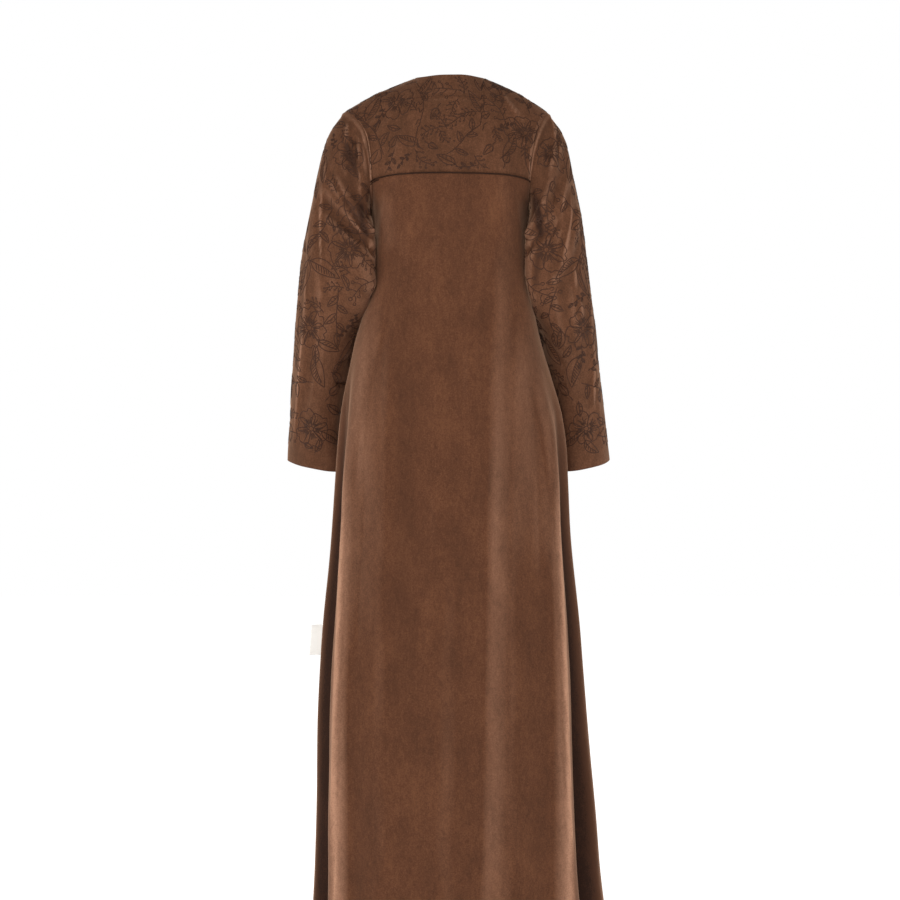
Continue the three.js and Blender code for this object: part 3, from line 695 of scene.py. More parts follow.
def add_mesh(name, points, faces, material, crease_angle=40.0):
    """A mesh object from points in millimetres and an array of faces."""
    mesh = bpy.data.meshes.new(name)
    corners = faces.shape[1]
    mesh.vertices.add(len(points))
    mesh.vertices.foreach_set("co", (points * MM).astype(np.float32).ravel())
    mesh.loops.add(faces.size)
    mesh.loops.foreach_set("vertex_index", faces.astype(np.int32).ravel())
    mesh.polygons.add(len(faces))
    mesh.polygons.foreach_set("loop_start", np.arange(0, faces.size, corners, dtype=np.int32))
    mesh.polygons.foreach_set("loop_total", np.full(len(faces), corners, dtype=np.int32))
    mesh.update(calc_edges=True)
    mesh.validate()
    mesh.shade_smooth()
    mesh.set_sharp_from_angle(angle=math.radians(crease_angle))
    mesh.materials.append(material)
    piece = bpy.data.objects.new(name, mesh)
    bpy.context.scene.collection.objects.link(piece)
    return piece


def add_cloth(name, cloth, thickness, material, node, slot, behind=(), around=()):
    points, faces = wall_of(cloth, thickness)
    piece = add_mesh(name, points, faces, material)
    # Painted light and shade, stored on the points: on the outside of the cloth only, none on its inside.
    painted_tone = piece.data.attributes.new("painted_light_and_shade", "FLOAT", "POINT")
    inside = np.zeros(cloth.points.shape[0] * cloth.points.shape[1])
    painted_outside = painted_light_and_shade(cloth, behind, around).ravel()
    painted_tone.data.foreach_set("value", np.concatenate([painted_outside, inside]).astype(np.float32))
    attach(piece, "root")
    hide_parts(node)
    return piece


def add_trim(name, parts, material, crease_angle=60.0):
    """One piece from many small meshes: threads, stitches or a cord."""
    points = []
    faces = []
    start = 0
    for part_points, part_faces in parts:
        points.append(part_points)
        faces.append(part_faces + start)
        start += len(part_points)
    piece = add_mesh(name, np.concatenate(points), np.concatenate(faces), material, crease_angle)
    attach(piece, "root")
    return piece


# ---- Threads, stitches and cord ----------------------------------------------------------------------
THREAD_SUNK = 0.2  # how far the foot of a thread lies in the nap
STITCH_RISE = 0.5  # height of a stitch as a share of its width


def thread(points, normals, width, height):
    """A flat thread laid on cloth: a low four-sided bar that narrows at both ends."""
    along = unit(np.gradient(points, axis=0))
    across = unit(np.cross(normals, along))
    count = len(points)
    ends = np.minimum(np.arange(count), np.arange(count)[::-1])
    taper = np.clip(0.35 + ends * 0.65, 0, 1)[:, None]
    half = across * width / 2 * taper
    low = points - normals * THREAD_SUNK
    top = points + normals * height * taper
    ring = np.stack([low + half, top + half * 0.45, top - half * 0.45, low - half], axis=1).reshape(-1, 3)
    base = np.arange(count - 1)[:, None] * 4
    faces = [base + np.array([k, (k + 1) % 4, (k + 1) % 4 + 4, k + 4]) for k in range(4)]
    caps = np.array([[3, 2, 1, 0], [0, 1, 2, 3]])
    caps[1] += 4 * (count - 1)
    return ring, np.concatenate(faces + [caps])


def cord(points, normals, radius, sides=8):
    """A round cord along points; its ring of sides starts at the normal."""
    along = unit(np.gradient(points, axis=0))
    across = unit(np.cross(normals, along))
    up = np.cross(along, across)
    turn = np.arange(sides) * 2 * np.pi / sides
    ring = points[:, None] + radius * (
        np.cos(turn)[None, :, None] * up[:, None] + np.sin(turn)[None, :, None] * across[:, None]
    )
    count = len(points)
    ring[0] = mix(ring[0], points[0], 0.5)
    ring[-1] = mix(ring[-1], points[-1], 0.5)
    base = np.arange(count - 1)[:, None] * sides
    after = [(k + 1) % sides for k in range(sides)]
    faces = [base + np.array([k, k + sides, after[k] + sides, after[k]]) for k in range(sides)]
    return ring.reshape(-1, 3), np.concatenate(faces)


def run_of(points):
    """How far along a line each of its points lies."""
    return np.concatenate([[0], np.cumsum(np.linalg.norm(np.diff(points, axis=0), axis=1))])


def read_at(at, place, values):
    return np.stack([np.interp(at, place, column) for column in values.T], axis=1)


def stitches(points, normals, length, gap, width):
    """A row of separate stitches along a line on cloth."""
    place = run_of(points)
    parts = []
    for start in np.arange(gap, place[-1] - length, length + gap):
        at = np.linspace(start, start + length, 4)
        up = unit(read_at(at, place, normals))
        parts.append(thread(read_at(at, place, points), up, width, width * STITCH_RISE))
    return parts


# ---- Embroidery: plants drawn as thread lines in millimetres, around their own middle ----------------
def smooth_line(points, spacing=2.2):
    """A smooth line through a few points, cut to even steps."""
    points = np.asarray(points, float)
    padded = np.concatenate([[2 * points[0] - points[1]], points, [2 * points[-1] - points[-2]]])
    pieces = []
    for i in range(len(points) - 1):
        a, b, c, d = padded[i : i + 4]
        t = np.linspace(0, 1, 12, endpoint=False)[:, None]
        pieces.append(
            0.5 * (2 * b + (c - a) * t + (2 * a - 5 * b + 4 * c - d) * t**2 + (3 * b - a - 3 * c + d) * t**3)
        )
    line = np.concatenate(pieces + [points[-1:]])
    place = run_of(line)
    count = max(4, int(place[-1] / spacing) + 1)
    return read_at(np.linspace(0, place[-1], count), place, line)


def turned(lines, degrees, at=(0, 0), scale=1.0):
    c, s = math.cos(math.radians(degrees)), math.sin(math.radians(degrees))
    spin = np.array([[c, s], [-s, c]])
    return [line @ spin * scale + np.asarray(at, float) for line in lines]


def leaf(length, width, chance, veins=6):
    """A pointed leaf with a middle vein and slanted side veins on one half."""
    bow = chance.uniform(-0.12, 0.12) * length
    spine = lambda t: np.array([bow * 4 * t * (1 - t), length * t])
    half = lambda t: width / 2 * np.sin(np.pi * t**0.8) ** 0.9
    shares = np.linspace(0, 1, 7)
    lines = []
    for side in (-1, 1):
        lines.append(smooth_line([spine(t) + np.array([side * half(t), 0]) for t in shares]))
    lines.append(smooth_line([spine(t) for t in (-0.12, 0.2, 0.5, 0.86)]))
    hatched = chance.choice([-1, 1])
    for t in np.linspace(0.2, 0.75, veins):
        tip = spine(t + 0.12) + np.array([hatched * half(t + 0.12) * 0.85, 0])
        lines.append(smooth_line([spine(t), (spine(t) + tip) / 2 + (0, 0.6), tip]))
    return lines


def petal(length, width, chance):
    """One petal with a wavy rim and hatch lines that rise from its foot."""
    wave = chance.uniform(-0.08, 0.08, 5) * width
    rim = [
        (-0.10 * width, 0.12 * length),
        (-0.42 * width + wave[0], 0.50 * length),
        (-0.46 * width + wave[1], 0.78 * length),
        (-0.18 * width, 0.97 * length + wave[2]),
        (0.05 * width, 0.90 * length),
        (0.24 * width, 1.00 * length + wave[3]),
        (0.48 * width + wave[4], 0.76 * length),
        (0.40 * width, 0.48 * length),
        (0.10 * width, 0.12 * length),
    ]
    lines = [smooth_line(rim)]
    for k in np.linspace(-0.8, 0.8, 5):
        reach = length * chance.uniform(0.38, 0.68)
        foot = np.array([0.10 * width * k, 0.22 * length])
        middle = (0.2 * width * k, 0.22 * length + reach / 2)
        lines.append(smooth_line([foot, middle, (0.34 * width * k, reach)]))
    return lines


def ring_line(radius, at=(0, 0)):
    t = np.linspace(0, 2 * np.pi, 9)
    return smooth_line(np.stack([np.cos(t) * radius, np.sin(t) * radius], axis=1) + at, 1.6)


def bloom(radius, chance):
    """An open flower: overlapping petals round a ringed centre with stamens."""
    count = int(chance.integers(5, 7))
    lines = []
    for k in range(count):
        size = radius * chance.uniform(0.86, 1.08)
        lines += turned(petal(size, size * 0.95, chance), 360 * k / count + chance.uniform(-8, 8))
    lines.append(ring_line(radius * 0.13))
    for k in range(6):
        angle = 2 * np.pi * k / 6 + 0.3
        out = np.array([np.sin(angle), np.cos(angle)])
        lines.append(smooth_line([out * radius * 0.14, out * radius * 0.26]))
    return lines


def bud(length, chance):
    """A closed bud on a short stalk, with two sepals."""
    drawn = [
        [(0, -0.45), (0.04, -0.2), (0, 0)],
        [(0, 0), (-0.26, 0.3), (-0.14, 0.75), (0, 1)],
        [(0, 0), (0.26, 0.3), (0.14, 0.75), (0, 1)],
        [(0, 0.1), (0.05, 0.5), (0, 0.9)],
        [(0, 0), (-0.2, 0.12), (-0.34, 0.4)],
        [(0, 0), (0.2, 0.12), (0.34, 0.4)],
    ]
    return [smooth_line(np.array(line) * length) for line in drawn]


def twig(length, chance, leaves=4):
    """A bent stem with leaves on both sides and one at its tip."""
    bend = chance.uniform(-0.2, 0.2) * length
    stem = [(0, -length / 2), (bend * 0.6, -length / 6), (bend, length / 6), (bend * 0.5, length / 2)]
    path = smooth_line(stem)
    lines = [path]
    for k in range(leaves):
        at = path[int((0.2 + 0.6 * k / max(1, leaves - 1)) * (len(path) - 1))]
        side = 1 if k % 2 else -1
        size = length * chance.uniform(0.26, 0.36)
        lines += turned(leaf(size, size * 0.42, chance, 3), side * chance.uniform(42, 66), at)
    lines += turned(leaf(length * 0.34, length * 0.14, chance, 3), chance.uniform(-15, 15), path[-1])
    return lines


def spray(length, chance, berries=7):
    """A fine branching stem with round buds at its ends."""
    path = smooth_line([(0, -length / 2), (0.08 * length, 0), (-0.04 * length, length / 2)])
    lines = [path, ring_line(length * 0.05, path[-1] + (0, length * 0.05))]
    for k in range(berries):
        at = path[int((0.18 + 0.74 * k / (berries - 1)) * (len(path) - 1))]
        side = 1 if k % 2 else -1
        reach = length * chance.uniform(0.14, 0.24)
        tip = at + np.array([side * reach, reach * 0.7])
        lines.append(smooth_line([at, at + (side * reach * 0.6, reach * 0.2), tip]))
        lines.append(ring_line(length * 0.042, tip + (side * length * 0.03, length * 0.03)))
    return lines


MOTIFS = dict(
    bloom=lambda size, chance: bloom(size / 2, chance),
    leaf=lambda size, chance: turned(leaf(size, size * 0.38, chance, int(size / 8)), 0, (0, -size / 2)),
    bud=lambda size, chance: bud(size * 0.7, chance),
    twig=twig,
    spray=spray,
)


# Lines are left out where the cloth's own places run much closer or wider than the drawing.
LEAST_SQUEEZE = 0.62
MOST_STRETCH = 1.6


def laid_on(cloth, lines, column, row, turn, width, height, limits):
    """Thread lines laid on cloth round one place, as far as the cloth and its edges allow."""
    spot = lambda u, v: cloth.at(np.array([u]), np.array([v]))
    step_u = (cloth.columns.max() - cloth.columns.min()) * 0.004
    step_v = (cloth.rows.max() - cloth.rows.min()) * 0.01
    here, normal = spot(column, row)
    du = (spot(column + step_u, row)[0] - spot(column - step_u, row)[0])[0] / (2 * step_u)
    dv = (spot(column, row + step_v)[0] - spot(column, row - step_v)[0])[0] / (2 * step_v)
    up = dv / np.linalg.norm(dv)
    side = np.cross(up, normal[0])
    to_place = np.linalg.inv(np.array([[du @ side, dv @ side], [du @ up, dv @ up]]))
    parts = []
    for line in turned(lines, turn):
        place = line @ to_place.T + (column, row)
        kept = (place[:, 0] > limits[0]) & (place[:, 0] < limits[1])
        kept &= (place[:, 1] > limits[2]) & (place[:, 1] < limits[3])
        runs = np.split(np.arange(len(line)), np.where(np.diff(kept.astype(int)) != 0)[0] + 1)
        for run in runs:
            if len(run) < 3 or not kept[run[0]]:
                continue
            points, normals = cloth.at(place[run, 0], place[run, 1])
            laid = np.linalg.norm(np.diff(points, axis=0), axis=1)
            drawn = np.linalg.norm(np.diff(line[run], axis=0), axis=1)
            if LEAST_SQUEEZE < laid.sum() / drawn.sum() < MOST_STRETCH:
                parts.append(thread(points, normals, width, height))
    return parts


# Where the plants lie: on a sleeve as degrees from the outer line towards the back and share of its
# length, on the yoke as degrees from the centre back and share of its height.
PLANT_COLUMNS = ("kind", "column", "row", "size", "turn")
YOKE_PLANTS = (
    ("bloom", 36, 0.60, 74, 10),
    ("leaf", 58, 0.72, 62, -60),
    ("twig", 66, 0.40, 78, 20),
    ("bud", 45, 0.22, 34, -30),
    ("leaf", 27, 0.24, 48, 70),
    ("spray", 18, 0.42, 62, -15),
    ("leaf", 14, 0.84, 44, -40),
    ("spray", 3, 0.80, 54, 80),
    ("bud", 6, 0.60, 36, 150),
    ("twig", -9, 0.26, 76, -48),
    ("leaf", 2, 0.12, 36, 60),
    ("leaf", -14, 0.62, 50, 35),
    ("bloom", -27, 0.80, 56, 0),
    ("spray", -30, 0.48, 60, 40),
    ("twig", -46, 0.74, 74, 60),
    ("leaf", -42, 0.24, 52, -25),
    ("bloom", -63, 0.42, 66, 30),
    ("bud", -76, 0.72, 40, -60),
    ("leaf", -79, 0.16, 44, 20),
    ("spray", 80, 0.74, 50, 30),
    ("bud", 80, 0.16, 36, -20),
    ("leaf", 30, 0.90, 40, 100),
)
SLEEVE_PLANTS = (
    ("bloom", 62, 0.10, 66, 20),
    ("twig", 118, 0.12, 72, -30),
    ("leaf", 30, 0.19, 60, 30),
    ("spray", 92, 0.22, 70, 15),
    ("leaf", 146, 0.24, 54, -60),
    ("twig", 52, 0.31, 86, -20),
    ("bloom", 106, 0.36, 74, 45),
    ("bud", 18, 0.37, 40, 160),
    ("leaf", 72, 0.45, 66, 70),
    ("spray", 142, 0.46, 60, -40),
    ("leaf", 36, 0.49, 70, -15),
    ("twig", 104, 0.55, 84, 10),
    ("bloom", 58, 0.62, 72, 80),
    ("leaf", 132, 0.66, 58, -35),
    ("spray", 20, 0.66, 64, 20),
    ("leaf", 88, 0.73, 64, 25),
    ("bud", 116, 0.79, 42, 140),
    ("twig", 46, 0.79, 82, -55),
    ("bloom", 82, 0.89, 70, 15),
    ("leaf", 128, 0.91, 56, 50),
    ("spray", 26, 0.92, 60, -70),
    ("bloom", 238, 0.20, 72, 0),
    ("leaf", 300, 0.18, 60, 40),
    ("twig", 268, 0.34, 84, -35),
    ("leaf", 330, 0.32, 62, 15),
    ("spray", 216, 0.40, 60, 60),
    ("bloom", 306, 0.48, 74, 30),
    ("leaf", 252, 0.52, 64, -70),
    ("twig", 340, 0.60, 80, 20),
    ("leaf", 212, 0.62, 56, 30),
    ("bloom", 270, 0.68, 70, 65),
    ("spray", 316, 0.76, 66, -30),
    ("leaf", 226, 0.80, 60, -20),
    ("twig", 278, 0.88, 80, 50),
    ("bud", 338, 0.90, 42, 10),
    ("leaf", 180, 0.34, 46, 0),
    ("leaf", 176, 0.80, 50, 30),
    ("leaf", 354, 0.12, 50, 60),
    ("spray", 4, 0.52, 56, 150),
    ("leaf", 0, 0.82, 56, -20),
)


# Where thread may run (first and last column, first and last row), and where small plants may start.
YOKE_FIELD = dict(limits=(-88.5, 88.5, 0.03, 0.975), span=(-84, 84))
SLEEVE_FIELD = dict(limits=(-1000, 1000, 0.03, 0.985), span=(0, 360))

# Small plants that fill the room left between the listed ones.
FILLERS = dict(
    kinds=("leaf", "bud", "spray", "twig"),
    sizes=(26, 46),
    rows=(0.06, 0.95),
    tries=900,
    room=0.33,
)


def filled_up(cloth, plants, span, seed):
    """The listed plants, and small ones wherever they leave room."""
    chance = np.random.default_rng(seed)
    plants = list(plants)
    where = lambda column, row: cloth.at(np.array([column]), np.array([row]))[0][0]
    taken = [(where(plant["column"], plant["row"]), plant["size"]) for plant in plants]
    for _ in range(FILLERS["tries"]):
        column = chance.uniform(*span)
        row = chance.uniform(*FILLERS["rows"])
        size = chance.uniform(*FILLERS["sizes"])
        turn = chance.uniform(0, 360)
        kind = FILLERS["kinds"][chance.integers(len(FILLERS["kinds"]))]
        here = where(column, row)
        if all(np.linalg.norm(here - spot) > FILLERS["room"] * (size + other) for spot, other in taken):
            taken.append((here, size))
            plants.append(dict(kind=kind, column=column, row=row, size=size, turn=turn))
    return plants


def embroidery(cloth, plants, look, limits, span, seed_step, mirrored=False):
    """All thread of one piece's embroidery."""
    width, height, seed = look.thread_width / MM, look.thread_height / MM, look.seed + seed_step
    chance = np.random.default_rng(seed)
    listed = rows_of(PLANT_COLUMNS, plants)
    if mirrored:
        listed = [dict(plant, turn=-plant["turn"]) for plant in listed]
    parts = []
    for plant in filled_up(cloth, listed, span, seed):
        lines = MOTIFS[plant["kind"]](plant["size"], chance)
        parts += laid_on(cloth, lines, plant["column"], plant["row"], plant["turn"], width, height, limits)
    return parts


# ---- Materials -------------------------------------------------------------------------------------
def linear(hex_colour):
    """An sRGB hex colour as linear values with alpha."""
    parts = [int(hex_colour[i : i + 2], 16) / 255 for i in (1, 3, 5)]
    return tuple(c / 12.92 if c <= 0.04045 else ((c + 0.055) / 1.055) ** 2.4 for c in parts) + (1.0,)


def new_material(name):
    """A material without nodes, its tree and the places on the piece that its patterns follow."""
    material = bpy.data.materials.new(name)
    material.use_nodes = True
    tree = material.node_tree
    tree.nodes.clear()
    return material, tree, add_node(tree, "ShaderNodeTexCoord").outputs["Object"]


def add_node(tree, kind, settings=None, values=None, links=None):
    """One shader node with its settings, its socket values and its links from other nodes' outputs."""
    node = tree.nodes.new(kind)
    for key, value in (settings or {}).items():
        setattr(node, key, value)
    for key, value in (values or {}).items():
        node.inputs[key].default_value = value
    for key, output in (links or {}).items():
        tree.links.new(output, node.inputs[key])
    return node


def noise(tree, place, size_mm, detail, roughness=0.5, distortion=0.0):
    values = {"Scale": 1 / (size_mm * MM), "Detail": detail, "Roughness": roughness, "Distortion": distortion}
    return add_node(tree, "ShaderNodeTexNoise", values=values, links={"Vector": place}).outputs["Fac"]


BAND_SCALE = 0.31  # scale of the wave pattern that gives one band to a metre


def bands(tree, place, direction, size_mm, distortion):
    """Even bands, such as the turns of a ply or the ribs of a tape."""
    settings = {"wave_type": "BANDS", "bands_direction": direction}
    values = {"Scale": BAND_SCALE / (size_mm * MM), "Distortion": distortion, "Detail": 1.0}
    return add_node(tree, "ShaderNodeTexWave", settings, values, {"Vector": place}).outputs["Fac"]


def sums(tree, operation, values, links, clamped=False):
    settings = {"operation": operation, "use_clamp": clamped}
    return add_node(tree, "ShaderNodeMath", settings, values, links).outputs["Value"]


def blended(tree, a, b, share):
    node = add_node(tree, "ShaderNodeMix", {"data_type": "FLOAT"}, {"Factor": share}, {"A": a, "B": b})
    return node.outputs["Result"]


def colours(tree, share, stops):
    """Colours in steps: stops are a place from 0 to 1 and a linear colour."""
    node = add_node(tree, "ShaderNodeValToRGB", links={"Fac": share})
    ramp = node.color_ramp.elements
    while len(ramp) < len(stops):
        ramp.new(0.5)
    for element, (place, colour) in zip(ramp, stops):
        element.position = place
        element.color = colour
    return node.outputs["Color"]


def bump(tree, height, strength, distance_mm, over=None):
    """Fine relief of a pattern, on top of another relief if one is given."""
    links = {"Height": height} if over is None else {"Height": height, "Normal": over}
    values = {"Strength": strength, "Distance": distance_mm * MM}
    return add_node(tree, "ShaderNodeBump", values=values, links=links).outputs["Normal"]


def finished(tree, colour, relief, values):
    """The surface and the output; a surface that glows does so in its own colour."""
    links = {"Base Color": colour}
    if relief is not None:
        links["Normal"] = relief
    if "Emission Strength" in values:
        links["Emission Color"] = colour
    surface = add_node(tree, "ShaderNodeBsdfPrincipled", values=values, links=links)
    add_node(tree, "ShaderNodeOutputMaterial", links={"Surface": surface.outputs["BSDF"]})


CLOUD_MM = 48.0  # brushed clouds where the nap lies one way or the other
BRUSH_MM = 7.0  # short marks that brushing leaves, longer up and down than across
PAINTED_SHADE_COLOUR = "#2E1A11"  # painted shade: the colour of hollows and shaded strips
PAINTED_HIGHLIGHT_COLOUR = "#BC8E74"  # painted highlight: the colour of crests and lit bands
RAGGED = 2.6  # how far the painted light and shade follow the grain of the nap
PILE_MM = 2.4  # tufts of pile; real ones are finer than this and wouldn't show
PILE_SHARE = 0.38


def suede_material(name, dark, middle, light):
    """Polyester microfibre suede, brushed: a soft matt nap that goes lighter and darker in clouds, with a
    pale sheen where the cloth turns away, and painted highlights and painted shade mixed into its colour."""
    material, tree, place = new_material(name)
    stretch = {"Scale": (1.0, 1.0, 0.5)}
    stretched = add_node(tree, "ShaderNodeMapping", None, stretch, {"Vector": place}).outputs["Vector"]
    cloud = noise(tree, stretched, CLOUD_MM, 4.0, 0.6, 0.3)
    brush = noise(tree, stretched, BRUSH_MM, 5.0, 0.7, 0.3)
    pile = noise(tree, place, PILE_MM, 2.0, 0.6)
    nap = blended(tree, blended(tree, cloud, brush, 0.5), pile, PILE_SHARE)
    toned = colours(tree, nap, [(0.37, linear(dark)), (0.5, linear(middle)), (0.63, linear(light))])
    # Painted shade and painted highlight from the piece's point attribute, broken up by the grain of the nap.
    painted_tone = add_node(tree, "ShaderNodeAttribute", {"attribute_name": "painted_light_and_shade"}).outputs["Fac"]
    ragged = sums(tree, "MULTIPLY_ADD", {1: RAGGED, 2: 1 - RAGGED / 2}, {0: nap})
    painted_amount = sums(tree, "MULTIPLY", None, {0: painted_tone, 1: ragged})
    for way, painted_colour in ((-1.0, PAINTED_SHADE_COLOUR), (1.0, PAINTED_HIGHLIGHT_COLOUR)):
        share = sums(tree, "MULTIPLY", {1: way}, {0: painted_amount}, clamped=True)
        links = {"Factor": share, "A": toned}
        mixed = add_node(tree, "ShaderNodeMix", {"data_type": "RGBA"}, {"B": linear(painted_colour)}, links)
        toned = mixed.outputs["Result"]
    relief = bump(tree, brush, 0.3, 1.2, over=bump(tree, pile, 0.5, 0.7))
    sheen = {"Sheen Weight": 0.5, "Sheen Roughness": 0.38, "Sheen Tint": linear("#E8BC9C")}
    finished(tree, toned, relief, {"Roughness": 0.9, "Specular IOR Level": 0.2, **sheen})
    return material


THREAD_TWIST_MM = 1.3  # one turn of the ply; a real one is half as long and wouldn't show
THREAD_WEAR_MM = 22.0


def thread_material(name, dark, light, shine):
    """Rayon embroidery thread: darker than the suede, with a slight silky gloss and a twisted ply."""
    material, tree, place = new_material(name)
    twist = bands(tree, place, "DIAGONAL", THREAD_TWIST_MM, 1.5)
    worn = noise(tree, place, THREAD_WEAR_MM, 3.0)
    colour = colours(tree, blended(tree, twist, worn, 0.5), [(0.25, linear(dark)), (0.75, linear(light))])
    sheen = {"Sheen Weight": 0.06, "Sheen Roughness": 0.4, "Sheen Tint": linear("#C9A48C")}
    relief = bump(tree, twist, 0.5, 0.3)
    finished(tree, colour, relief, {"Roughness": shine, "Specular IOR Level": 0.22, **sheen})
    return material


TAPE_RIB_MM = 1.2
# Painted light: a weak glow in the tape's own colour that lifts it to white.
TAPE_PAINTED_GLOW = 0.14


def tape_material(name, colour_hex, shade_hex):
    """Woven polyester satin tape: a clean white with a weak glow of its own colour, painted light that keeps
    it white where little light reaches it, with fine cross ribs that only soften its gloss."""
    material, tree, place = new_material(name)
    ribs = bands(tree, place, "Z", TAPE_RIB_MM, 0.4)
    colour = colours(tree, ribs, [(0.0, linear(shade_hex)), (0.6, linear(colour_hex))])
    gloss = {"Roughness": 0.5, "Specular IOR Level": 0.4, "Emission Strength": TAPE_PAINTED_GLOW}
    finished(tree, colour, bump(tree, ribs, 0.4, 0.2), gloss)
    return material


FLOOR = dict(half=9.0, steps=25, glow=1.0)  # metres, points along a side, and its own light
FLOOR_MOTTLE_MM = 250.0
FLOOR_SHADE = 0.985


def floor_material(name, colour_hex):
    """Opal acrylic sheet lit from below: almost even white with a faint mottle, so that nothing casts a
    hard shadow on it."""
    material, tree, place = new_material(name)
    base = linear(colour_hex)
    darker = tuple(c * FLOOR_SHADE for c in base[:3]) + (1.0,)
    colour = colours(tree, noise(tree, place, FLOOR_MOTTLE_MM, 4.0), [(0.3, darker), (0.7, base)])
    gloss = {"Roughness": 0.9, "Specular IOR Level": 0.2, "Emission Strength": FLOOR["glow"]}
    finished(tree, colour, None, gloss)
    return material


PLAIN_SUEDE = suede_material("brushed_microfibre_suede", "#4E3020", "#5E3A27", "#6F4730")
STITCHED_SUEDE = suede_material("brushed_microfibre_suede_embroidered", "#4E3222", "#5F3D2A", "#714A35")
EMBROIDERY_THREAD = thread_material("rayon_embroidery_thread", "#351F14", "#4A2E20", 0.62)
# Near-black cord for the yoke seam; its short second run at the left armhole is painted shade under the
# lapped yoke edge.
DARK_CORD_AND_PAINTED_SHADE = thread_material("dark_piping_cord_and_painted_shade", "#26140C", "#38200F", 0.8)
WHITE_TAPE = tape_material("woven_satin_tape", "#FDFDFB", "#F1EFEA")


# ---- Cutting the pieces ------------------------------------------------------------------------------
SKIRT_STEP = 7.0  # distance between rows of points down the skirt
ROWS_UNDER_YOKE = 9
YOKE_ROWS = 52
YOKE_HEIGHT = 180
CHEST_ROWS = 48
SLEEVE_ROWS = 150
SLEEVE_COLUMNS_ROUND = 128
SEAM_DIP = dict(width=11, depth=-1.3)
SEAM_HOLD = 24  # creases end this far from the side and shoulder seams, so that the pieces meet
ARMHOLE_HOLD = 12  # and this many degrees from the armholes

# Slow unevenness: distance from crest to crest across and along, and height.
BODY_WAVES = ((190, 900, 1.6), (95, 520, 0.8), (47, 260, 0.45))
SLEEVE_WAVES = ((122, 300, 1.0), (61, 170, 0.6))


def sides_and_neck(count_out, count_in):
    """Columns of the back from the left armhole to the right one, with one at each end of the neck."""
    neck = NECK["angle"]
    left = np.linspace(90, neck, count_out)
    middle = np.linspace(neck, -neck, count_in)[1:]
    right = np.linspace(-neck, -90, count_out)[1:]
    return np.concatenate([left, middle, right])


def skirt_rows():
    count = int((UNDERARM_Z - HEM_Z) / SKIRT_STEP)
    return np.linspace(0, 1, count)


def seam_dip(distance):
    """Cloth draws in beside a seam."""
    return SEAM_DIP["depth"] * hump(distance / SEAM_DIP["width"])


def dress_body(cloth, creases, seed, seam_distance):
    """Creases, slow unevenness and drawn-in seams of a piece of the body, fading out at its armholes."""
    x, z = cloth.points[..., 0], cloth.points[..., 2]
    angle = np.abs((cloth.columns + 180) % 360 - 180)[None, :]
    near_armhole = ease(np.abs(angle - 90) / ARMHOLE_HOLD)
    level = cloth.rows[:, None]
    hold = np.where(level > 0.97, near_armhole, 1.0)
    seam_y = np.where(level > 1, SHOULDER_Y, 0)
    hold = hold * ease(np.abs(cloth.points[..., 1] - seam_y) / SEAM_HOLD)
    waves = slow_waves(x, z, BODY_WAVES, seed)
    cloth.move(hold * (crease_depth(x, z, creases) + waves) + seam_dip(seam_distance))


def back_cloth():
    columns = sides_and_neck(52, 26)
    rows = np.concatenate([skirt_rows(), np.linspace(1, 2, ROWS_UNDER_YOKE)[1:]])
    rise = yoke_rise(columns, -SEAM_GAP / 2)
    level = np.where(rows[:, None] <= 1, rows[:, None], 1 + rise * (rows[:, None] - 1))
    points = body_point(columns[None, :], level)
    sew = (np.abs(columns) >= 90)[None, :] & (rows <= 1)[:, None]
    points[..., 1] += np.where(sew, SEAM_GAP / 2, 0)
    cloth = Cloth(points, columns, rows)
    width = np.abs(points[..., 0])
    edge = np.minimum(np.abs(width - width[:, :1]), np.abs(width - width[:, -1:]))
    low = (rows <= 1)[:, None]
    dress_body(cloth, BODY_CREASES_BEHIND, 3, np.where(low, np.abs(points[..., 1]), 99 + edge))
    return cloth


def yoke_cloth():
    columns = sides_and_neck(76, 46)
    rows = np.linspace(0, 1, YOKE_ROWS)
    low = yoke_rise(columns, SEAM_GAP / 2)
    high = neck_rise(columns)
    level = 1 + low + (high - low) * rows[:, None]
    points = body_point(columns[None, :], level)
    on_shoulder = (rows > 1 - 1e-6)[:, None] & (np.abs(columns) > NECK["angle"] - 1e-6)[None, :]
    points[..., 1] += np.where(on_shoulder, SEAM_GAP / 2, 0)
    cloth = Cloth(points, columns, rows)
    cloth.rows = 1 + rows
    dress_body(cloth, BODY_CREASES_BEHIND, 3, rows[:, None] * YOKE_HEIGHT + 0 * points[..., 0])
    cloth.rows = rows
    facing = facing_distance(cloth)
    cloth.move(FACING["depth"] * hump(facing / FACING["groove"]))
    return cloth


# The back neck facing is stitched through: a shallow groove with short stitches in it.
FACING = dict(left_x=104, right_x=-96, z=-40, bow=5, groove=3, depth=-0.8)
FACING_STITCH = dict(length=3.2, gap=0.9, width=1.0)


def facing_z(x):
    middle = (FACING["left_x"] + FACING["right_x"]) / 2
    half = (FACING["left_x"] - FACING["right_x"]) / 2
    return FACING["z"] - FACING["bow"] * ((x - middle) / half) ** 2


def facing_distance(cloth):
    x, z = cloth.points[..., 0], cloth.points[..., 2]
    inside = (x < FACING["left_x"]) & (x > FACING["right_x"])
    return np.where(inside, np.abs(z - facing_z(x)), 99.0)


def lap_angle(level):
    z = mix(HEM_Z, UNDERARM_Z, np.minimum(1, level))
    share = FRONT_LAP["half_width"] / BODY_SIZE["left"](z)
    return np.degrees(np.arcsin(share ** (BODY_SIZE["square"](z) / 2)))


LAP_COLUMNS = 9


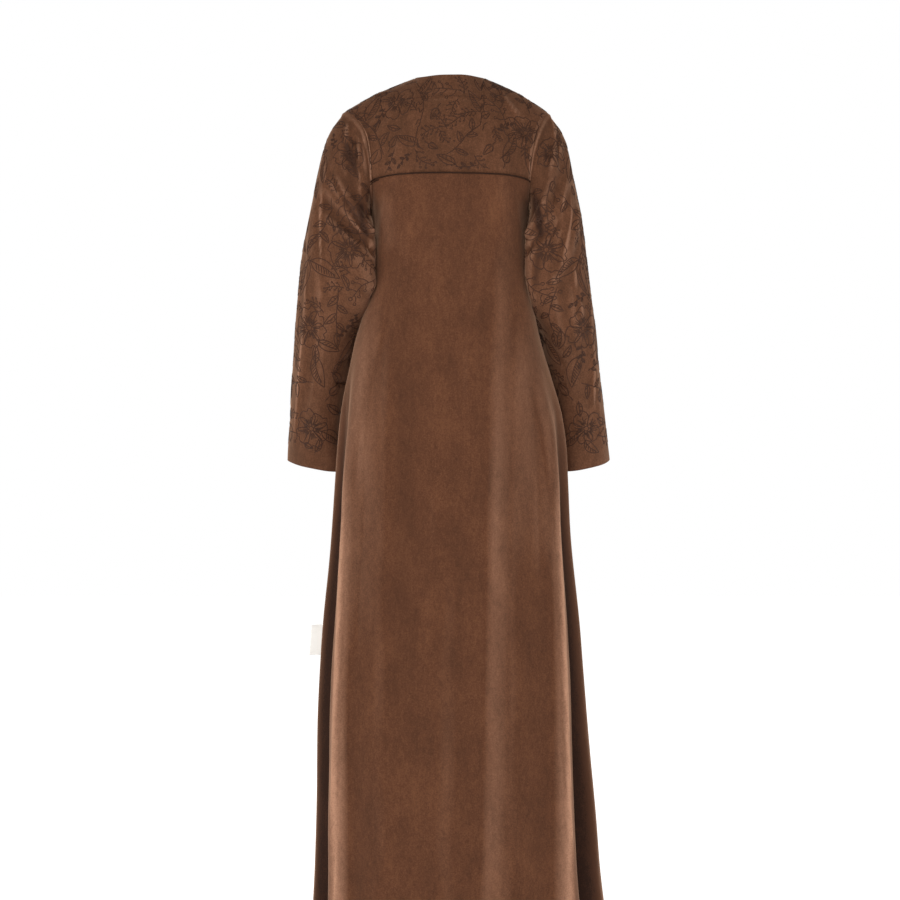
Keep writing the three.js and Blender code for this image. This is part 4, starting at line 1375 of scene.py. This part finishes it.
def front_cloth(side):
    """A front from its side seam to past the centre line; the right one lies over the left."""
    last = FRONT_LAP["last_angle"]
    neck = 180 - NECK["angle"]
    to_neck = np.linspace(90.0001, neck, 54)
    to_lap = np.linspace(neck, last, 16)[1:]
    columns = np.concatenate([to_neck, to_lap, last + np.linspace(0, 1, LAP_COLUMNS + 1)[1:]])
    rows = np.concatenate([skirt_rows(), np.linspace(1, 2, CHEST_ROWS)[1:]])
    past = np.maximum(0, columns - last)[None, :]
    row = rows[:, None]

    def angle_at(level):
        return mix(np.minimum(columns, last)[None, :], 180 + lap_angle(level), past)

    angle = angle_at(row)
    rise = neck_rise(side * angle)
    level = np.where(row <= 1, row, 1 + rise * (row - 1))
    angle = angle_at(level)
    points = body_point(side * angle, level)
    from_edge = side * points[..., 0] + FRONT_LAP["half_width"]
    if side < 0:
        over = ease(2 - from_edge / FRONT_LAP["spread"])
        points[..., 1] -= over * (CLOTH_OF_THE_SOLIDS + LAP_CLEAR)
    shoulder_edge = (row > 2 - 1e-6) & (columns < neck + 1e-6)[None, :]
    side_edge = (row <= 1) & (columns < 90.001)[None, :]
    points[..., 1] -= np.where(shoulder_edge | side_edge, SEAM_GAP / 2, 0)
    cloth = Cloth(points, columns, rows)
    seam = np.where(row <= 1, np.abs(points[..., 1]), 99.0)
    dress_body(cloth, BODY_CREASES_IN_FRONT, 5, seam)
    return cloth


# The sleeve's cap: easing leaves a soft roll beside the armhole seam.
CAP_ROLL = dict(place=9, width=9, depth=1.8)

# Creases are weaker along the outer and inner lines of a sleeve, where the cloth is folded over.
OUTLINE_SHARE = 0.25
OUTLINE_SPREAD = 0.5


# The sleeve's edge turns in under the armhole's, as its seam allowance does.
SEAM_ALLOWANCE = dict(inward=2.4, under=2.1, row=-0.004)


def turn_in_at_seam(cloth, side):
    edge = cloth.points[:1] - cloth.normals[:1] * SEAM_ALLOWANCE["under"]
    edge[..., 0] -= side * SEAM_ALLOWANCE["inward"]
    cloth.points = np.concatenate([edge, cloth.points])
    cloth.rows = np.concatenate([[SEAM_ALLOWANCE["row"]], cloth.rows])
    cloth.normals = cloth.find_normals()


def sleeve_cloth(side):
    columns = np.linspace(0, 360, SLEEVE_COLUMNS_ROUND, endpoint=False)
    rows = np.linspace(0, 1, SLEEVE_ROWS) ** 1.06
    points = sleeve_point(side, columns[None, :], rows[:, None])
    points[..., 0] += side * SEAM_GAP
    cloth = Cloth(points, columns, rows, closed=True)
    name = "left" if side > 0 else "right"
    x, z = points[..., 0], points[..., 2]
    behind = ease(0.5 + 2.2 * np.sin(np.radians(columns)))[None, :]
    creases = behind * crease_depth(x, z, SLEEVE_CREASES_BEHIND[name])
    creases += (1 - behind) * crease_depth(x, z, SLEEVE_CREASES_IN_FRONT[name])
    round_mm = np.radians(columns)[None, :] * SLEEVE_RADIUS + 0 * z
    from_seam = rows[:, None] * SLEEVE_LENGTH
    waves = slow_waves(round_mm, from_seam, SLEEVE_WAVES, 11 + side)
    roll = CAP_ROLL["depth"] * hump((from_seam - CAP_ROLL["place"]) / CAP_ROLL["width"])
    hold = ease(from_seam / 14)
    outline = mix(OUTLINE_SHARE, 1, ease(np.abs(np.sin(np.radians(columns))) / OUTLINE_SPREAD))[None, :]
    cloth.move(hold * (outline * creases + waves) + roll)
    turn_in_at_seam(cloth, side)
    return cloth


# ---- Settings that a user may change -----------------------------------------------------------------
class ABAYA_PG_cloth(PropertyGroup):
    thickness: FloatProperty(
        name="Cloth thickness",
        description="Thickness of the suede in metres",
        default=0.0019,
        min=0.001,
        max=0.003,
        subtype="DISTANCE",
        unit="LENGTH",
    )
    piping_radius: FloatProperty(
        name="Piping radius",
        description="Radius of the cord in the yoke seam",
        default=0.0013,
        subtype="DISTANCE",
        unit="LENGTH",
    )


class ABAYA_PG_embroidery(PropertyGroup):
    thread_width: FloatProperty(
        name="Thread width",
        description="Width of an embroidered line",
        default=0.0019,
        subtype="DISTANCE",
        unit="LENGTH",
    )
    thread_height: FloatProperty(
        name="Thread height",
        description="Height of an embroidered line above the suede",
        default=0.0005,
        subtype="DISTANCE",
        unit="LENGTH",
    )
    seed: IntProperty(name="Seed", description="Chooses the small differences between plants", default=21)


class ABAYA_PG_stage(PropertyGroup):
    floor_gap: FloatProperty(
        name="Floor gap",
        description="Height of the hem above the floor",
        default=0.012,
        subtype="DISTANCE",
        unit="LENGTH",
    )
    soft_light: FloatProperty(
        name="Soft light",
        description="Strength of the soft lights",
        default=1.0,
        min=0.0,
    )
    surround: FloatVectorProperty(
        name="Surround",
        description="Colour of the even surround",
        default=(1.0, 1.0, 1.0),
        size=3,
        subtype="COLOR",
    )


# ---- Operators: one for each group of pieces ---------------------------------------------------------
def thickness_mm(context):
    return context.scene.abaya_cloth.thickness / MM


class ABAYA_OT_back(Operator):
    """Makes the plain back, from the yoke seam to the hem"""

    bl_idname = "abaya.back"
    bl_label = "Back"

    def execute(self, context):
        cloth = back_cloth()
        thick = thickness_mm(context)
        # Painted light and shade for the back: broad bands, bright crest lines and dark shaded strips.
        painted_marks = (PAINTED_LIGHT_BEHIND, PAINTED_LIGHT_ROUND)
        piece = add_cloth("abaya_back", cloth, thick, PLAIN_SUEDE, "back_panel", "suede", *painted_marks)
        return {"FINISHED"}


# The piping's cords: from one angle to another, at a row of the back's cloth, as shares of its radius.
PIPING_COLUMNS = ("start", "end", "points", "row", "out", "size")
PIPING_RUNS = (
    (89.7, -89.7, 162, 2.0, 0.6, 1.0),
    # Painted shade: a short dark cord under the yoke's lapped edge at the left armhole.
    (89.7, 60, 31, 1.93, 0.5, 0.7),
)


class ABAYA_OT_yoke(Operator):
    """Makes the back yoke with its embroidery, facing stitches and piping"""

    bl_idname = "abaya.yoke"
    bl_label = "Yoke"

    def execute(self, context):
        cloth = yoke_cloth()
        thick = thickness_mm(context)
        piece = add_cloth("abaya_yoke", cloth, thick, STITCHED_SUEDE, "back_yoke", "embroidered_suede")
        look = context.scene.abaya_embroidery
        plants = embroidery(cloth, YOKE_PLANTS, look, **YOKE_FIELD, seed_step=0)
        sewn = add_trim("yoke_embroidery", plants, EMBROIDERY_THREAD)
        across = np.linspace(FACING["left_x"], FACING["right_x"], 90)
        points, normals = on_yoke(cloth, across, facing_z(across))
        sewing = stitches(points, normals, **FACING_STITCH)
        rows = add_trim("facing_stitches", sewing, EMBROIDERY_THREAD)
        self.add_piping(context)
        return {"FINISHED"}

    def add_piping(self, context):
        """The near-black cord in the yoke seam, with a short second dark cord at the left armhole: painted
        shade under the yoke's lapped edge there.
        """
        radius = context.scene.abaya_cloth.piping_radius / MM
        sheet = back_cloth()
        parts = []
        for run in rows_of(PIPING_COLUMNS, PIPING_RUNS):
            angle = np.linspace(run["start"], run["end"], run["points"])
            points, normals = sheet.at(angle, np.full(angle.shape, run["row"]))
            parts.append(cord(points + normals * (run["out"] * radius), normals, run["size"] * radius))
        piping = add_trim("yoke_piping_cord", parts, DARK_CORD_AND_PAINTED_SHADE)
        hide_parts("yoke_piping")


def on_yoke(cloth, x, z):
    """Points of the yoke's cloth nearest to places seen from behind."""
    flat = cloth.points.reshape(-1, 3)
    index = np.argmin((flat[None, :, 0] - x[:, None]) ** 2 + (flat[None, :, 2] - z[:, None]) ** 2, axis=1)
    wide = cloth.points.shape[1]
    column = cloth.columns[index % wide].astype(float)
    row = cloth.rows[index // wide].astype(float)
    for _ in range(6):
        points, _ = cloth.at(column, row)
        step_u, step_v = 0.5, 0.01
        ahead_u, _ = cloth.at(column + step_u, row)
        ahead_v, _ = cloth.at(column, row + step_v)
        slope_x = (ahead_u[:, 0] - points[:, 0]) / step_u
        slope_z = (ahead_v[:, 2] - points[:, 2]) / step_v
        column = column + (x - points[:, 0]) / slope_x
        row = np.clip(row + (z - points[:, 2]) / np.where(np.abs(slope_z) < 20, 20, slope_z), 0, 1)
    return cloth.at(column, row)


class ABAYA_OT_fronts(Operator):
    """Makes the two plain fronts, the right one lapped over the left"""

    bl_idname = "abaya.fronts"
    bl_label = "Fronts"

    def execute(self, context):
        for side, name, node, area in (
            (1, "abaya_front_left", "front_left", 0.448),
            (-1, "abaya_front_right", "front_right", 0.455),
        ):
            cloth = front_cloth(side)
            piece = add_cloth(name, cloth, thickness_mm(context), PLAIN_SUEDE, node, "suede")
        return {"FINISHED"}


class ABAYA_OT_sleeves(Operator):
    """Makes the two sleeves with their embroidery"""

    bl_idname = "abaya.sleeves"
    bl_label = "Sleeves"

    def execute(self, context):
        look = context.scene.abaya_embroidery
        for side, label, area in ((1, "left", 0.223), (-1, "right", 0.205)):
            cloth = sleeve_cloth(side)
            node = "sleeve_" + label
            thick = thickness_mm(context)
            name = "abaya_" + node
            # Painted shade beside the armhole and along the body's edge.
            painted_marks = PAINTED_SHADE_ON_SLEEVES[label]
            piece = add_cloth(name, cloth, thick, STITCHED_SUEDE, node, "embroidered_suede", painted_marks)
            field = dict(SLEEVE_FIELD, seed_step=5 + side, mirrored=side < 0)
            plants = embroidery(cloth, SLEEVE_PLANTS, look, **field)
            sewn = add_trim(node + "_embroidery", plants, EMBROIDERY_THREAD)
        return {"FINISHED"}


TAPE = dict(reach=21, half_gap=0.65, layer=0.8, curl=1.6, droop=0.6, off=0.4, trim=0.5)


class ABAYA_OT_tape(Operator):
    """Makes the small folded white tape in the left side seam, left bare"""

    bl_idname = "abaya.tape"
    bl_label = "Side tape"

    def execute(self, context):
        low, high = (np.array(corner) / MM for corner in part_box("side_label"))
        rows = np.linspace(0, 1, 28)
        bend = TAPE["reach"] - TAPE["half_gap"]
        flat_x = np.linspace(0, bend, 12)
        turn = np.linspace(90, -90, 9)[1:-1]
        loop_x = np.concatenate([flat_x, bend + TAPE["half_gap"] * np.cos(np.radians(turn)), flat_x[::-1]])
        loop_y = np.concatenate(
            [
                np.full(flat_x.shape, TAPE["half_gap"]),
                TAPE["half_gap"] * np.sin(np.radians(turn)),
                np.full(flat_x.shape, -TAPE["half_gap"]),
            ]
        )
        z = mix(low[2] + TAPE["trim"], high[2] - TAPE["trim"], rows)[:, None]
        seam = skirt_point(np.full(rows.shape, 90.0), z[:, 0])
        curl = TAPE["curl"] * (loop_x / TAPE["reach"])[None, :] ** 2 * (2 * rows[:, None] - 1) ** 2
        points = stack(
            seam[:, :1] + SEAM_GAP * 2 + TAPE["off"] + loop_x[None, :],
            loop_y[None, :] + seam[:, 1:2] + curl,
            z - TAPE["droop"] * (loop_x / TAPE["reach"])[None, :] ** 2,
        )
        cloth = Cloth(points, np.arange(points.shape[1]), rows)
        piece = add_cloth("side_tape", cloth, TAPE["layer"], WHITE_TAPE, "side_label", "tape")
        return {"FINISHED"}


VIEW = dict(distance=4.0, height=-0.666, seen=1.62, sensor=36.0)
LIGHTS = (
    # name, place, size, power, colour
    ("camera_softbox", (0.7, 3.6, 1.6), 1.2, 64, "#FFFAF4"),
    ("left_softbox", (3.0, 1.2, 1.0), 1.0, 14, "#FFF6EC"),
    ("right_softbox", (-3.0, 1.2, 1.0), 1.0, 12, "#FFF6EC"),
    ("front_softbox", (0.6, -3.2, 1.9), 1.6, 34, "#FFFFFF"),
)
SURROUND_LIT = 0.2


class ABAYA_OT_stage(Operator):
    """Makes the plain floor, the soft lights and the camera"""

    bl_idname = "abaya.stage"
    bl_label = "Stage"

    def execute(self, context):
        stage = context.scene.abaya_stage
        floor_z = HEM_Z * MM - stage.floor_gap
        reach = np.linspace(-FLOOR["half"], FLOOR["half"], FLOOR["steps"]) / MM
        points = stack(reach[None, :], reach[:, None], floor_z / MM).reshape(-1, 3)
        index = np.arange(FLOOR["steps"] ** 2).reshape(FLOOR["steps"], FLOOR["steps"])
        floor = add_mesh("floor", points, grid_faces(index), floor_material("opal_acrylic", "#F7F6F4"))
        for name, place, size, power, colour in LIGHTS:
            data = bpy.data.lights.new(name, "AREA")
            data.shape = "SQUARE"
            data.size = size
            data.energy = power * stage.soft_light
            data.color = linear(colour)[:3]
            light = bpy.data.objects.new(name, data)
            light.location = place
            aim = np.array((0.0, 0.0, VIEW["height"])) - np.array(place)
            light.rotation_mode = "QUATERNION"
            light.rotation_quaternion = Vector(aim).to_track_quat("-Z", "Y")
            context.scene.collection.objects.link(light)
        self.add_surround(context, stage.surround)
        camera_data = bpy.data.cameras.new("camera")
        camera_data.sensor_width = VIEW["sensor"]
        camera_data.lens = VIEW["sensor"] * VIEW["distance"] / VIEW["seen"]
        camera = bpy.data.objects.new("camera", camera_data)
        camera.location = (0.0, VIEW["distance"], VIEW["height"])
        camera.rotation_euler = (math.radians(90), 0.0, math.radians(180))
        context.scene.collection.objects.link(camera)
        context.scene.camera = camera
        context.scene.view_settings.view_transform = "Standard"
        return {"FINISHED"}

    def add_surround(self, context, colour):
        """An even white surround that lights the cloth more gently than it looks."""
        world = bpy.data.worlds.new("surround")
        context.scene.world = world
        world.use_nodes = True
        tree = world.node_tree
        tree.nodes.clear()
        links = {0: add_node(tree, "ShaderNodeLightPath").outputs["Is Camera Ray"]}
        for socket, strength in ((1, SURROUND_LIT), (2, 1.0)):
            values = {"Color": (*colour, 1.0), "Strength": strength}
            links[socket] = add_node(tree, "ShaderNodeBackground", values=values).outputs["Background"]
        both = add_node(tree, "ShaderNodeMixShader", links=links)
        add_node(tree, "ShaderNodeOutputWorld", links={"Surface": both.outputs["Shader"]})


class ABAYA_PT_panel(Panel):
    """Lists the abaya's pieces in the sidebar"""

    bl_label = "Abaya"
    bl_idname = "ABAYA_PT_panel"
    bl_space_type = "VIEW_3D"
    bl_region_type = "UI"
    bl_category = "Abaya"

    def draw(self, context):
        layout = self.layout
        for settings in ("abaya_cloth", "abaya_embroidery", "abaya_stage"):
            group = getattr(context.scene, settings)
            for key in group.bl_rna.properties.keys():
                if key not in ("rna_type", "name"):
                    layout.prop(group, key)
        for operator in OPERATORS:
            layout.operator(operator.bl_idname)


OPERATORS = (ABAYA_OT_back, ABAYA_OT_yoke, ABAYA_OT_fronts, ABAYA_OT_sleeves, ABAYA_OT_tape, ABAYA_OT_stage)
GROUPS = dict(abaya_cloth=ABAYA_PG_cloth, abaya_embroidery=ABAYA_PG_embroidery, abaya_stage=ABAYA_PG_stage)


def register():
    for kind in (*GROUPS.values(), *OPERATORS, ABAYA_PT_panel):
        bpy.utils.register_class(kind)
    for name, group in GROUPS.items():
        setattr(bpy.types.Scene, name, PointerProperty(type=group))


def unregister():
    for name in GROUPS:
        delattr(bpy.types.Scene, name)
    for kind in (ABAYA_PT_panel, *OPERATORS, *GROUPS.values()):
        bpy.utils.unregister_class(kind)


def main():
    register()
    bpy.ops.abaya.back()
    bpy.ops.abaya.yoke()
    bpy.ops.abaya.fronts()
    bpy.ops.abaya.sleeves()
    bpy.ops.abaya.tape()
    bpy.ops.abaya.stage()


if __name__ == "__main__":
    main()
